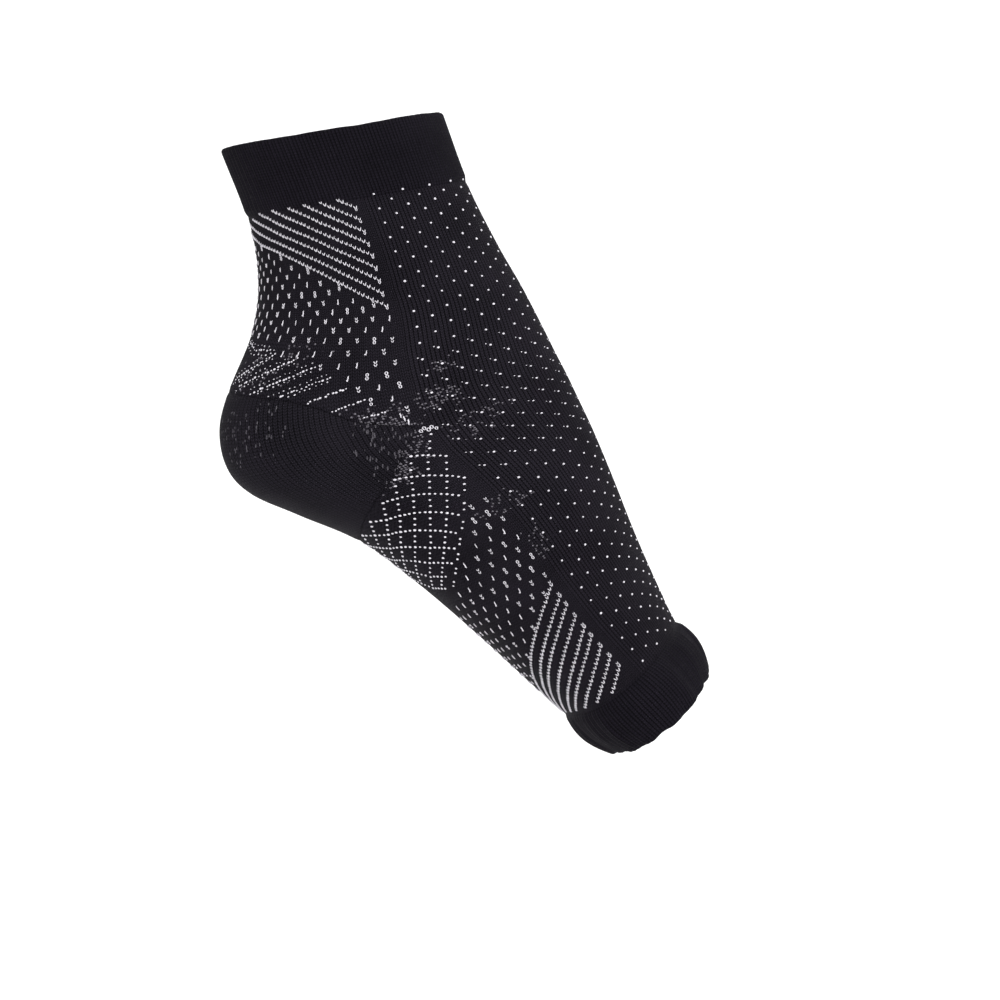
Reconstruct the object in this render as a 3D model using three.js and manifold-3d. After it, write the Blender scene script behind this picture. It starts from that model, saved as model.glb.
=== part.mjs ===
// Open-toed compression foot sleeve, in the form that it has on a foot with the toes pointed down.
//
// Units are millimetres. +Z is up, +X points to the toes and Y runs across the foot. The origin is
// the centre of the ankle opening. The sleeve is one knitted tube, described by flat sections that
// all contain the Y direction. Each section hangs back from the front line, which runs from the
// ankle rim down the shin and the instep to the toe rim. The ankle cuff, the body, the heel pouch
// and the toe band are stretches and patches of that one surface, each with its own wall.

import * as THREE from "three";
import { mergeVertices } from "three/addons/utils/BufferGeometryUtils.js";
import Module from "manifold-3d";

// Lengths down the front line

const ANKLE_CUFF_HEIGHT = 25.4;
const BODY_LENGTH = 165.9;
const TOE_BAND_HEIGHT = 20.1;
const FRONT_LEAN = 25.9;

// Depths from the front to the back or the sole, and widths across

const ANKLE_DEPTH = 76;
const ANKLE_WIDTH = 63;
const HEEL_DEPTH = 119;
const HEEL_WIDTH = 67;
const BALL_DEPTH = 49.3;
const BALL_WIDTH = 86;

// Walls, steps and gaps

const BODY_WALL = 1.3;
const POUCH_WALL = 1.5;
const CUFF_WALL = 2.2;
const CUFF_STEP = 0.6;
const POUCH_STEP = 0.1;
const GAP = 0.3;

// Rib knit and gathers of the two cuffs

const CUFF_RIBS = 72;
const RIB_RELIEF = 0.5;
const TOE_BAND_PUFF = 2;
const GATHER_COUNT = 9;
const GATHER_HEIGHT = 0.6;

// Ankle bones and hollows, as heights on each side

const ANKLE_BONE_HEIGHT = 3.2;
const TENDON_HOLLOW_DEPTH = 3.0;
const ARCH_HOLLOW_DEPTH = 2.6;

// Facets

const BODY_FACETS = 52;
const RINGS_PER_ROW = 2;
const CUFF_RINGS = 3;
const SEAM_POINTS = 28;

const ankle = { depth: ANKLE_DEPTH, width: ANKLE_WIDTH };
const heel = { depth: HEEL_DEPTH, width: HEEL_WIDTH };
const ball = { depth: BALL_DEPTH, width: BALL_WIDTH };

const ANKLE_RIM_AT = -ANKLE_CUFF_HEIGHT / BODY_LENGTH;
const TOE_RIM_AT = 1 + TOE_BAND_HEIGHT / BODY_LENGTH;

// The sections, from the ankle rim to the toe rim.
//   along   place on the front line, a share of BODY_LENGTH from the foot of the ankle cuff
//   dip     how far the front line lies behind its chord, a share of BODY_LENGTH
//   tilt    degrees by which the section falls from its front to its back
//   of      the named sizes that the section follows
//   depth   share of that depth, front to back
//   width   share of that width
//   widest  where the section is widest, a share of its depth from the front
//   bow     how far the flanks run ahead of the section's plane, a share of its width
//   front   squareness of the front quarter, 2 for an ellipse
//   back    squareness of the back quarter
const SECTIONS = [
  { name: "ankle rim", along: ANKLE_RIM_AT, dip: 0.005, tilt: 9.6, of: ankle,
    depth: 0.996, width: 1, widest: 0.49, bow: 0.02, front: 2.1, back: 2.05 },
  { name: "cuff foot", along: 0, dip: 0.02, tilt: 9.3, of: ankle,
    depth: 0.995, width: 0.97, widest: 0.48, bow: 0.025, front: 2.1, back: 2 },
  { name: "leg", along: 0.139, dip: 0.0185, tilt: 8.6, of: ankle,
    depth: 1.085, width: 0.97, widest: 0.46, bow: 0.02, front: 2.05, back: 1.95 },
  { name: "tendon", along: 0.241, dip: 0.0115, tilt: 9.9, of: ankle,
    depth: 1.232, width: 1, widest: 0.44, bow: 0.015, front: 2, back: 1.95 },
  { name: "pouch top", along: 0.334, dip: 0.009, tilt: 12, of: heel,
    depth: 0.923, width: 0.97, widest: 0.44, bow: 0.01, front: 2, back: 2.15 },
  { name: "heel back", along: 0.39, dip: 0.0085, tilt: 13.6, of: heel,
    depth: 0.989, width: 0.985, widest: 0.45, bow: 0.005, front: 2, back: 2.35 },
  { name: "heel turn", along: 0.425, dip: 0.0075, tilt: 17.2, of: heel,
    depth: 1.005, width: 0.99, widest: 0.47, bow: 0, front: 2, back: 2.5 },
  { name: "heel corner", along: 0.453, dip: 0.007, tilt: 20.2, of: heel,
    depth: 0.968, width: 0.99, widest: 0.49, bow: 0, front: 2, back: 2.5 },
  { name: "heel base", along: 0.5, dip: 0.0075, tilt: 22.7, of: heel,
    depth: 0.868, width: 0.99, widest: 0.51, bow: 0.005, front: 2, back: 2.4 },
  { name: "pouch foot", along: 0.574, dip: 0.0085, tilt: 25.5, of: heel,
    depth: 0.739, width: 1.01, widest: 0.53, bow: 0.01, front: 2, back: 2.3 },
  { name: "arch", along: 0.68, dip: 0.0145, tilt: 29.1, of: ball,
    depth: 1.527, width: 0.83, widest: 0.55, bow: 0.02, front: 2, back: 2.2 },
  { name: "waist", along: 0.804, dip: 0.024, tilt: 33.5, of: ball,
    depth: 1.286, width: 0.9, widest: 0.57, bow: 0.035, front: 2, back: 2.25 },
  { name: "ball", along: 0.924, dip: 0.0285, tilt: 38.1, of: ball,
    depth: 1.1, width: 0.97, widest: 0.58, bow: 0.05, front: 2.05, back: 2.3 },
  { name: "band root", along: 1, dip: 0.028, tilt: 39.7, of: ball,
    depth: 0.995, width: 0.99, widest: 0.57, bow: 0.06, front: 2.1, back: 2.3 },
  { name: "toe rim", along: TOE_RIM_AT, dip: 0.0105, tilt: 40, of: ball,
    depth: 0.875, width: 0.99, widest: 0.55, bow: 0.055, front: 2.1, back: 2.2 },
];

const rowOf = (name) => SECTIONS.findIndex((row) => row.name === name);
const ANKLE_RIM = rowOf("ankle rim");
const CUFF_FOOT = rowOf("cuff foot");
const BAND_ROOT = rowOf("band root");
const TOE_RIM = rowOf("toe rim");

// The heel pouch's seam in the side view, from the tendon to its tip below the ankle bone and back
// to the sole.
//   row     place between the sections, counted from the ankle rim
//   across  share of the section's depth from the front
const POUCH_SEAM = [
  { row: 3.76, across: 1.085 },
  { row: 4.17, across: 0.938 },
  { row: 4.65, across: 0.79 },
  { row: 5.1, across: 0.7 },
  { row: 5.83, across: 0.6 },
  { row: 6.82, across: 0.466 },
  { row: 7.6, across: 0.575 },
  { row: 8.08, across: 0.675 },
  { row: 8.46, across: 0.815 },
  { row: 8.74, across: 0.921 },
  { row: 9.2, across: 1.08 },
];
const POUCH_TIP = 5;
const SEAM_OVERRUN = 1.3;

// Swellings and hollows of both flanks.
//   row, across   the centre, as in the seam
//   height        how far the flank is pushed out, or in where negative
//   spread        radius at which the push has faded to three fifths, a share of HEEL_DEPTH
const FLANK_FORMS = [
  { name: "ankle bone", row: 5.0, across: 0.4, height: ANKLE_BONE_HEIGHT, spread: 0.11 },
  { name: "tendon hollow", row: 3.6, across: 0.72, height: -TENDON_HOLLOW_DEPTH, spread: 0.13 },
  { name: "arch hollow", row: 9.9, across: 0.72, height: -ARCH_HOLLOW_DEPTH, spread: 0.15 },
];

const radians = THREE.MathUtils.degToRad;

// A column of the section table at a place between two rows, on a smooth curve through all rows.
function column(key, row) {
  const last = SECTIONS.length - 1;
  const start = THREE.MathUtils.clamp(Math.floor(row), 0, last - 1);
  const value = (index) => {
    if (index < 0) return 2 * value(0) - value(1);
    if (index > last) return 2 * value(last) - value(last - 1);
    const section = SECTIONS[index];
    return key in section.of ? section[key] * section.of[key] : section[key];
  };
  const share = row - start;
  const before = value(start);
  const after = value(start + 1);
  const leaving = (after - value(start - 1)) / 2;
  const arriving = (value(start + 2) - before) / 2;
  const bend = 2 * (before - after) + leaving + arriving;
  const rise = 3 * (after - before) - 2 * leaving - arriving;
  return before + share * (leaving + share * (rise + share * bend));
}

// The front rim point stands half a depth ahead of the origin, in the tilted plane of the rim.
const rimTilt = radians(SECTIONS[ANKLE_RIM].tilt);
const rimReach = column("depth", ANKLE_RIM) / 2;
const frontWay = new THREE.Vector3(Math.sin(radians(FRONT_LEAN)), 0, -Math.cos(radians(FRONT_LEAN)));
const frontOut = new THREE.Vector3(Math.cos(radians(FRONT_LEAN)), 0, Math.sin(radians(FRONT_LEAN)));
const rimFront = new THREE.Vector3(rimReach * Math.cos(rimTilt), 0, rimReach * Math.sin(rimTilt));

// A point of the front line, with the chord laid so that the rim's own front point is on it.
function frontPoint(row) {
  const along = (column("along", row) - SECTIONS[ANKLE_RIM].along) * BODY_LENGTH;
  const dip = (column("dip", row) - SECTIONS[ANKLE_RIM].dip) * BODY_LENGTH;
  return rimFront.clone().addScaledVector(frontWay, along).addScaledVector(frontOut, -dip);
}

// A point of the middle plane, a share of a section's depth behind the front line.
function middlePoint(row, across) {
  const tilt = radians(column("tilt", row));
  const reach = across * column("depth", row);
  return frontPoint(row).add(new THREE.Vector3(-reach * Math.cos(tilt), 0, -reach * Math.sin(tilt)));
}

// The unit vector square to a section, towards the toes.
function planeNormal(row) {
  const tilt = radians(column("tilt", row));
  return new THREE.Vector3(Math.sin(tilt), 0, -Math.cos(tilt));
}

const flankForms = FLANK_FORMS.map((form) => ({
  centre: middlePoint(form.row, form.across),
  height: form.height,
  spread: form.spread * HEEL_DEPTH,
}));

// The outline of one section: a front and a back quarter that meet where it is widest.
class SectionOutline extends THREE.Curve {
  constructor(row) {
    super();
    this.row = row;
    this.halfWidth = column("width", row) / 2;
    this.widest = column("widest", row);
    this.bow = column("bow", row) * column("width", row);
    this.front = column("front", row);
    this.back = column("back", row);
  }

  getPoint(turn, target = new THREE.Vector3()) {
    const angle = 2 * Math.PI * turn;
    const ahead = Math.cos(angle);
    const aside = Math.sin(angle);
    const power = 2 / (ahead > 0 ? this.front : this.back);
    const reach = Math.abs(ahead) ** power;
    const across = ahead > 0 ? this.widest * (1 - reach) : this.widest + (1 - this.widest) * reach;
    const side = Math.sign(aside) * Math.abs(aside) ** power;
    target.copy(middlePoint(this.row, across));
    let half = this.halfWidth;
    for (const form of flankForms) {
      const away = target.distanceTo(form.centre) / form.spread;
      half += form.height * Math.exp(-0.5 * away * away);
    }
    target.y = -side * half;
    return target.addScaledVector(planeNormal(this.row), this.bow * side * side);
  }
}

// Evenly spaced points round a section, from the front over the near flank.
function evenRing(row, facets) {
  return new SectionOutline(row).getSpacedPoints(facets).slice(0, facets);
}

// A ring of the surface, lifted along its normal by a length or by a function of the facet's index.
const SLOPE_STEP = 0.02;
function liftedRing(row, facets, lift) {
  const ring = evenRing(row, facets);
  const above = evenRing(row - SLOPE_STEP, facets);
  const below = evenRing(row + SLOPE_STEP, facets);
  return ring.map((point, index) => {
    const down = below[index].clone().sub(above[index]);
    const round = ring[(index + 1) % facets].clone().sub(ring[(index + facets - 1) % facets]);
    const normal = round.cross(down).normalize();
    const height = typeof lift === "function" ? lift(index) : lift;
    return point.addScaledVector(normal, height);
  });
}

// A closed body from rings in order, up the outer skin and down the inner one.
function bodyFromRings(rings) {
  const facets = rings[0].length;
  const positions = rings.flat().flatMap((point) => point.toArray());
  const faces = [];
  rings.forEach((ring, lap) => {
    const here = lap * facets;
    const next = ((lap + 1) % rings.length) * facets;
    for (let index = 0; index < facets; index += 1) {
      const beside = (index + 1) % facets;
      faces.push(here + index, next + index, next + beside);
      faces.push(here + index, next + beside, here + beside);
    }
  });
  const geometry = new THREE.BufferGeometry();
  geometry.setAttribute("position", new THREE.Float32BufferAttribute(positions, 3));
  geometry.setIndex(faces);
  return geometry;
}

// Rows at even steps from one to another, both included.
function rowsBetween(from, to, steps) {
  return Array.from({ length: steps + 1 }, (_, step) => from + ((to - from) * step) / steps);
}

// The change of row that moves a section by a length down the front line.
function rowShift(row, length) {
  const spacing = frontPoint(row + 0.5).distanceTo(frontPoint(row - 0.5));
  return length / spacing;
}

// A plain knitted tube with an outer and an inner skin.
function plainTube(rows, step, wall) {
  const outer = rows.map((row) => liftedRing(row, BODY_FACETS, step));
  const inner = rows.map((row) => liftedRing(row, BODY_FACETS, step - wall));
  return bodyFromRings([...outer.reverse(), ...inner]);
}

// A doubled, ribbed cuff. Its free end is a round fold. A puff swells its middle, and gathers run
// round it as waves.
function ribbedCuff(root, rim, puff, gathers) {
  const facets = 2 * CUFF_RIBS;
  const outward = Math.sign(rim - root);
  const shoulder = rim - outward * rowShift(rim, CUFF_WALL / 2);
  const swell = (row, index) => {
    const share = (row - root) / (rim - root);
    const wave = Math.cos((2 * Math.PI * GATHER_COUNT * index) / facets);
    return Math.sin(Math.PI * share) * (puff + gathers * wave);
  };
  const smooth = (row, height) => liftedRing(row, facets, (index) => height + swell(row, index));
  const ribbed = (row, height) =>
    liftedRing(row, facets, (index) => height + swell(row, index) - (index % 2) * RIB_RELIEF);
  const outer = rowsBetween(root, shoulder, CUFF_RINGS).map((row) => ribbed(row, CUFF_STEP));
  const nose = [0.3, 0.7].map((share) => smooth(rim, CUFF_STEP - share * CUFF_WALL));
  const inner = rowsBetween(root, shoulder, CUFF_RINGS - 1).map((row) => smooth(row, CUFF_STEP - CUFF_WALL));
  const rings = [...outer, ...nose, ...inner.reverse()];
  return bodyFromRings(outward > 0 ? rings.reverse() : rings);
}

// The seam of the pouch as a smooth line in the side view, moved away from the heel by a margin.
function seamLine(margin) {
  const places = POUCH_SEAM.map((place) => middlePoint(place.row, place.across));
  const upper = new THREE.CatmullRomCurve3(places.slice(0, POUCH_TIP + 1)).getPoints(SEAM_POINTS / 2);
  const lower = new THREE.CatmullRomCurve3(places.slice(POUCH_TIP)).getPoints(SEAM_POINTS / 2);
  const line = [...upper, ...lower.slice(1)];
  return line.map((point, index) => {
    const before = line[Math.max(index - 1, 0)];
    const after = line[Math.min(index + 1, line.length - 1)];
    const way = after.clone().sub(before).normalize();
    return new THREE.Vector2(point.x - margin * way.z, point.z + margin * way.x);
  });
}

// A block right across the foot that holds the heel up to the seam.
function heelBlock(margin) {
  const [first] = POUCH_SEAM;
  const final = POUCH_SEAM[POUCH_SEAM.length - 1];
  const behind = rowsBetween(final.row, first.row, SEAM_POINTS / 2).map((row) => {
    const point = middlePoint(row, SEAM_OVERRUN);
    return new THREE.Vector2(point.x, point.z);
  });
  const reach = Math.max(HEEL_WIDTH, BALL_WIDTH);
  const outline = new THREE.Shape([...seamLine(margin), ...behind]);
  const block = new THREE.ExtrudeGeometry(outline, { depth: 2 * reach, bevelEnabled: false });
  block.rotateX(Math.PI / 2);
  block.translate(0, reach, 0);
  return block;
}

const wasm = await Module();
wasm.setup();

function toSolid(geometry) {
  const bare = new THREE.BufferGeometry();
  bare.setAttribute("position", geometry.getAttribute("position"));
  bare.setIndex(geometry.getIndex());
  const welded = mergeVertices(bare, 1e-4);
  return new wasm.Manifold(new wasm.Mesh({
    numProp: 3,
    vertProperties: new Float32Array(welded.getAttribute("position").array),
    triVerts: new Uint32Array(welded.getIndex().array),
  }));
}

function toGeometry(solid) {
  const mesh = solid.getMesh();
  const geometry = new THREE.BufferGeometry();
  geometry.setAttribute("position", new THREE.Float32BufferAttribute(mesh.vertProperties, 3));
  geometry.setIndex(Array.from(mesh.triVerts));
  return geometry;
}

function sleeveBody() {
  const from = CUFF_FOOT + rowShift(CUFF_FOOT, GAP);
  const to = BAND_ROOT - rowShift(BAND_ROOT, GAP);
  const rows = rowsBetween(from, to, RINGS_PER_ROW * (BAND_ROOT - CUFF_FOOT));
  const tube = toSolid(plainTube(rows, 0, BODY_WALL));
  return toGeometry(tube.subtract(toSolid(heelBlock(GAP / 2))));
}

function heelPouch() {
  const from = Math.floor(POUCH_SEAM[0].row) - 1;
  const to = Math.ceil(POUCH_SEAM[POUCH_SEAM.length - 1].row) + 1;
  const tube = toSolid(plainTube(rowsBetween(from, to, RINGS_PER_ROW * (to - from)), POUCH_STEP, POUCH_WALL));
  return toGeometry(tube.intersect(toSolid(heelBlock(-GAP / 2))));
}

// Knitted yarns

const ribYarn = new THREE.MeshStandardMaterial({ color: 0x1b1a1d, roughness: 0.82, metalness: 0 });
const jacquardYarn = new THREE.MeshStandardMaterial({ color: 0x212024, roughness: 0.85, metalness: 0 });
const heelYarn = new THREE.MeshStandardMaterial({ color: 0x19181b, roughness: 0.8, metalness: 0 });

function part(name, geometry, material) {
  geometry.computeVertexNormals();
  const mesh = new THREE.Mesh(geometry, material);
  mesh.name = name;
  return mesh;
}

const sleeve = new THREE.Group();
sleeve.add(
  part("ankle_cuff", ribbedCuff(CUFF_FOOT, ANKLE_RIM, 0, 0), ribYarn),
  part("sleeve_body", sleeveBody(), jacquardYarn),
  part("heel_pouch", heelPouch(), heelYarn),
  part("toe_band", ribbedCuff(BAND_ROOT, TOE_RIM, TOE_BAND_PUFF, GATHER_HEIGHT), ribYarn),
);

export default sleeve;
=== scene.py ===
"""Open-toed compression foot sleeve, knitted in one tube, in the form that it has when worn.

The sleeve is one surface, made from flat sections that hang back from the front line of the leg and
the instep. Ribbed cuffs, the patterned body and the plain heel pouch are stretches and patches of
that surface. White yarn is laid on it stitch by stitch, in wales (columns) and courses (rows).
Lengths are metres, +Z is up, +X points to the toes and the origin is the centre of the ankle opening.
"""

import logging
import math
from collections.abc import Sequence
from dataclasses import dataclass, field
from enum import Enum

import bpy
import numpy as np
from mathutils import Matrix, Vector


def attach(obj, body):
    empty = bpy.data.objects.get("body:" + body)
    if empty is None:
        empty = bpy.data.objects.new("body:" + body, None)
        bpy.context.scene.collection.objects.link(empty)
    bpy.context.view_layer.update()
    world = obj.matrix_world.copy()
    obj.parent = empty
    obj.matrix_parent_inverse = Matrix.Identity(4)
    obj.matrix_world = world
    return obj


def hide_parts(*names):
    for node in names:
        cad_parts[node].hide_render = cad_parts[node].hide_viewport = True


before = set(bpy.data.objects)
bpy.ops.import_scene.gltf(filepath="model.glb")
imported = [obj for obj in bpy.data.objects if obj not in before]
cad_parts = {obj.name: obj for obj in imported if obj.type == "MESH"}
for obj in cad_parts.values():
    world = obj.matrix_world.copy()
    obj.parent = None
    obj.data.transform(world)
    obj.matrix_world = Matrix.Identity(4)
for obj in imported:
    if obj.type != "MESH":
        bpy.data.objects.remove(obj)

MM = 0.001
log = logging.getLogger("sleeve")


# Named sizes of the worn sleeve

ANKLE_CUFF_HEIGHT = 25.4 * MM
BODY_LENGTH = 165.9 * MM
TOE_BAND_HEIGHT = 20.1 * MM
FRONT_LEAN = math.radians(25.9)


@dataclass(frozen=True)
class Girth:
    """Depth from the front to the back or the sole, and width across."""

    depth: float
    width: float


ANKLE = Girth(depth=76 * MM, width=63 * MM)
HEEL = Girth(depth=119 * MM, width=67 * MM)
BALL = Girth(depth=49.3 * MM, width=86 * MM)


@dataclass(frozen=True)
class Section:
    """One flat section of the sleeve.

    Args:
        name: the place on the foot.
        along: place on the front line, a share of BODY_LENGTH from the foot of the ankle cuff.
        dip: how far the front line lies behind its chord, a share of BODY_LENGTH.
        tilt: degrees by which the section falls from its front to its back.
        girth: the named sizes that the section follows.
        depth: share of that depth.
        width: share of that width.
        widest: where the section is widest, a share of its depth from the front.
        bow: how far the flanks run ahead of the section's plane, a share of its width.
        front: squareness of the front quarter, 2 for an ellipse.
        back: squareness of the back quarter.
    """

    name: str
    along: float
    dip: float
    tilt: float
    girth: Girth
    depth: float
    width: float
    widest: float
    bow: float
    front: float
    back: float


RIM_ALONG = -ANKLE_CUFF_HEIGHT / BODY_LENGTH
TOE_ALONG = 1 + TOE_BAND_HEIGHT / BODY_LENGTH
SECTIONS = (
    Section("ankle rim", RIM_ALONG, 0.005, 9.6, ANKLE, 0.996, 1, 0.49, 0.02, 2.1, 2.05),
    Section("cuff foot", 0, 0.02, 9.3, ANKLE, 0.995, 0.97, 0.48, 0.025, 2.1, 2),
    Section("leg", 0.139, 0.0185, 8.6, ANKLE, 1.085, 0.97, 0.46, 0.02, 2.05, 1.95),
    Section("tendon", 0.241, 0.0115, 9.9, ANKLE, 1.232, 1, 0.44, 0.015, 2, 1.95),
    Section("pouch top", 0.334, 0.009, 12, HEEL, 0.923, 0.97, 0.44, 0.01, 2, 2.15),
    Section("heel back", 0.39, 0.0085, 13.6, HEEL, 0.989, 0.985, 0.45, 0.005, 2, 2.35),
    Section("heel turn", 0.425, 0.0075, 17.2, HEEL, 1.005, 0.99, 0.47, 0, 2, 2.5),
    Section("heel corner", 0.453, 0.007, 20.2, HEEL, 0.968, 0.99, 0.49, 0, 2, 2.5),
    Section("heel base", 0.5, 0.0075, 22.7, HEEL, 0.868, 0.99, 0.51, 0.005, 2, 2.4),
    Section("pouch foot", 0.574, 0.0085, 25.5, HEEL, 0.739, 1.01, 0.53, 0.01, 2, 2.3),
    Section("arch", 0.68, 0.0145, 29.1, BALL, 1.527, 0.83, 0.55, 0.02, 2, 2.2),
    Section("waist", 0.804, 0.024, 33.5, BALL, 1.286, 0.9, 0.57, 0.035, 2, 2.25),
    Section("ball", 0.924, 0.0285, 38.1, BALL, 1.1, 0.97, 0.58, 0.05, 2.05, 2.3),
    Section("band root", 1, 0.028, 39.7, BALL, 0.995, 0.99, 0.57, 0.06, 2.1, 2.3),
    Section("toe rim", TOE_ALONG, 0.0105, 40, BALL, 0.875, 0.99, 0.55, 0.055, 2.1, 2.2),
)
ANKLE_RIM = 0
CUFF_FOOT = 1
BAND_ROOT = len(SECTIONS) - 2
TOE_RIM = len(SECTIONS) - 1


@dataclass(frozen=True)
class FlankForm:
    """A swelling or a hollow of both flanks.

    Args:
        name: what makes it.
        row: place between the sections, counted from the ankle rim.
        across: share of the section's depth from the front.
        height: how far the flank is pushed out, or in where negative.
        spread: radius at which the push has faded to three fifths.
    """

    name: str
    row: float
    across: float
    height: float
    spread: float


FLANK_FORMS = (
    FlankForm("ankle bone", 5.0, 0.4, 3.2 * MM, 0.11 * HEEL.depth),
    FlankForm("tendon hollow", 3.6, 0.72, -3.0 * MM, 0.13 * HEEL.depth),
    FlankForm("arch hollow", 9.9, 0.72, -2.6 * MM, 0.15 * HEEL.depth),
)


@dataclass(frozen=True)
class SeamPlace:
    """A point of the pouch's seam in the side view: a row, and a share of its depth from the front."""

    row: float
    across: float


POUCH_SEAM = (
    SeamPlace(3.76, 1.085),
    SeamPlace(4.17, 0.938),
    SeamPlace(4.65, 0.79),
    SeamPlace(5.1, 0.7),
    SeamPlace(5.83, 0.6),
    SeamPlace(6.82, 0.466),
    SeamPlace(7.6, 0.575),
    SeamPlace(8.08, 0.675),
    SeamPlace(8.46, 0.815),
    SeamPlace(8.74, 0.921),
    SeamPlace(9.2, 1.08),
)
POUCH_TIP = 5
SEAM_OVERRUN = 1.3


def smooth_through(values: np.ndarray, places: np.ndarray) -> np.ndarray:
    """Reads a smooth curve that runs through all rows of a table.

    Args:
        values: one value, or one row of values, for each whole place.
        places: places between the rows, of any shape.

    Returns:
        The values at the places, with the table's own trailing axes behind those of the places.
    """
    rows = np.asarray(values, float)
    rows = np.concatenate([[2 * rows[0] - rows[1]], rows, [2 * rows[-1] - rows[-2]]])
    places = np.asarray(places, float)
    start = np.clip(np.floor(places).astype(int), 0, len(values) - 2)
    share = (places - start).reshape(places.shape + (1,) * (rows.ndim - 1))
    before, first, second, after = (rows[start + step] for step in range(4))
    leaving = (second - before) / 2
    arriving = (after - first) / 2
    bend = 2 * (first - second) + leaving + arriving
    rise = 3 * (second - first) - 2 * leaving - arriving
    return first + share * (leaving + share * (rise + share * bend))


class SleeveSurface:
    """The outer face of the sleeve, addressed by row (ankle rim to toe rim) and turn (round it)."""

    ROW_STEPS = 700
    TURN_STEPS = 720

    def __init__(self) -> None:
        """Lays out the surface on a fine grid and finds its normals and the length of its side line."""
        self.columns = {
            name: np.array([getattr(section, name) for section in SECTIONS], float)
            for name in ("along", "dip", "tilt", "widest", "bow", "front", "back")
        }
        self.columns["depth"] = np.array([section.depth * section.girth.depth for section in SECTIONS])
        self.columns["width"] = np.array([section.width * section.girth.width for section in SECTIONS])
        self.way = np.array([math.sin(FRONT_LEAN), 0, -math.cos(FRONT_LEAN)])
        self.out = np.array([math.cos(FRONT_LEAN), 0, math.sin(FRONT_LEAN)])
        rim_tilt = math.radians(SECTIONS[ANKLE_RIM].tilt)
        rim_reach = self.columns["depth"][ANKLE_RIM] / 2
        self.rim_front = rim_reach * np.array([math.cos(rim_tilt), 0, math.sin(rim_tilt)])
        self.flanks = [(self.middle(form.row, form.across), form) for form in FLANK_FORMS]
        self.rows = np.linspace(ANKLE_RIM, TOE_RIM, self.ROW_STEPS + 1)
        self.points = self._even_rings()
        down = np.gradient(self.points, axis=0)
        round_ = np.gradient(self.points, axis=1)
        round_[:, 0] = round_[:, -1] = self.points[:, 1] - self.points[:, -2]
        normals = np.cross(round_, down)
        self.normals = normals / np.linalg.norm(normals, axis=2, keepdims=True)
        side = self.points[:, self.TURN_STEPS // 4]
        steps = np.linalg.norm(np.diff(side, axis=0), axis=1)
        self.side_line = np.concatenate([[0], np.cumsum(steps)])

    def column(self, name: str, row: np.ndarray) -> np.ndarray:
        """A column of the section table at places between the sections."""
        return smooth_through(self.columns[name], row)

    def front(self, row: np.ndarray) -> np.ndarray:
        """Points of the front line."""
        along = (self.column("along", row) - SECTIONS[ANKLE_RIM].along) * BODY_LENGTH
        dip = (self.column("dip", row) - SECTIONS[ANKLE_RIM].dip) * BODY_LENGTH
        return self.rim_front + along[..., None] * self.way - dip[..., None] * self.out

    def middle(self, row: np.ndarray, across: np.ndarray) -> np.ndarray:
        """Points of the middle plane, a share of the section's depth behind the front line."""
        tilt = np.radians(self.column("tilt", row))
        reach = across * self.column("depth", row)
        return self.front(row) - np.stack([reach * np.cos(tilt), 0 * reach, reach * np.sin(tilt)], -1)

    def outline(self, row: np.ndarray, angle: np.ndarray) -> np.ndarray:
        """Points of the sections' outlines.

        Args:
            row: places between the sections.
            angle: angles round the outline from its front, over the near flank.

        Returns:
            One point for each pair of row and angle.
        """
        row, angle = np.broadcast_arrays(np.asarray(row, float), angle)
        ahead = np.cos(angle)
        aside = np.sin(angle)
        power = 2 / np.where(ahead > 0, self.column("front", row), self.column("back", row))
        reach = np.abs(ahead) ** power
        widest = self.column("widest", row)
        across = np.where(ahead > 0, widest * (1 - reach), widest + (1 - widest) * reach)
        side = np.sign(aside) * np.abs(aside) ** power
        points = self.middle(row, across)
        half = self.column("width", row) / 2
        for centre, form in self.flanks:
            away = ((points - centre) ** 2).sum(-1) / form.spread**2
            half = half + form.height * np.exp(-0.5 * away)
        points[..., 1] = -side * half
        tilt = np.radians(self.column("tilt", row))
        bow = self.column("bow", row) * self.column("width", row) * side**2
        points += np.stack([np.sin(tilt), 0 * tilt, -np.cos(tilt)], -1) * bow[..., None]
        return points

    def _even_rings(self) -> np.ndarray:
        """Rings of points at even steps of length round each section."""
        angles = np.linspace(0, 2 * math.pi, self.TURN_STEPS + 1)
        raw = self.outline(self.rows[:, None], angles[None, :])
        even = np.linspace(0, 1, self.TURN_STEPS + 1)
        rings = np.empty_like(raw)
        for index, ring in enumerate(raw):
            lengths = np.concatenate([[0], np.cumsum(np.linalg.norm(np.diff(ring, axis=0), axis=1))])
            for axis in range(3):
                rings[index, :, axis] = np.interp(even, lengths / lengths[-1], ring[:, axis])
        return rings

    def at(self, row: np.ndarray, turn: np.ndarray, lift: np.ndarray) -> np.ndarray:
        """Points of the surface, lifted along its normal.

        Args:
            row: places between the sections.
            turn: shares of the way round, from the front over the near flank.
            lift: heights above the surface.

        Returns:
            One point for each set of row, turn and lift.
        """
        row, turn, lift = np.broadcast_arrays(row, np.mod(turn, 1.0), lift)
        high = np.clip(row / TOE_RIM * self.ROW_STEPS, 0, self.ROW_STEPS - 1e-6)
        wide = turn * self.TURN_STEPS
        top = high.astype(int)
        left = wide.astype(int)
        down = (high - top)[..., None]
        right = (wide - left)[..., None]

        def blend(grid: np.ndarray) -> np.ndarray:
            """Reads the grid between its four nearest points."""
            upper = grid[top, left] * (1 - right) + grid[top, left + 1] * right
            lower = grid[top + 1, left] * (1 - right) + grid[top + 1, left + 1] * right
            return upper * (1 - down) + lower * down

        normals = blend(self.normals)
        normals /= np.linalg.norm(normals, axis=-1, keepdims=True)
        return blend(self.points) + normals * lift[..., None]

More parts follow.
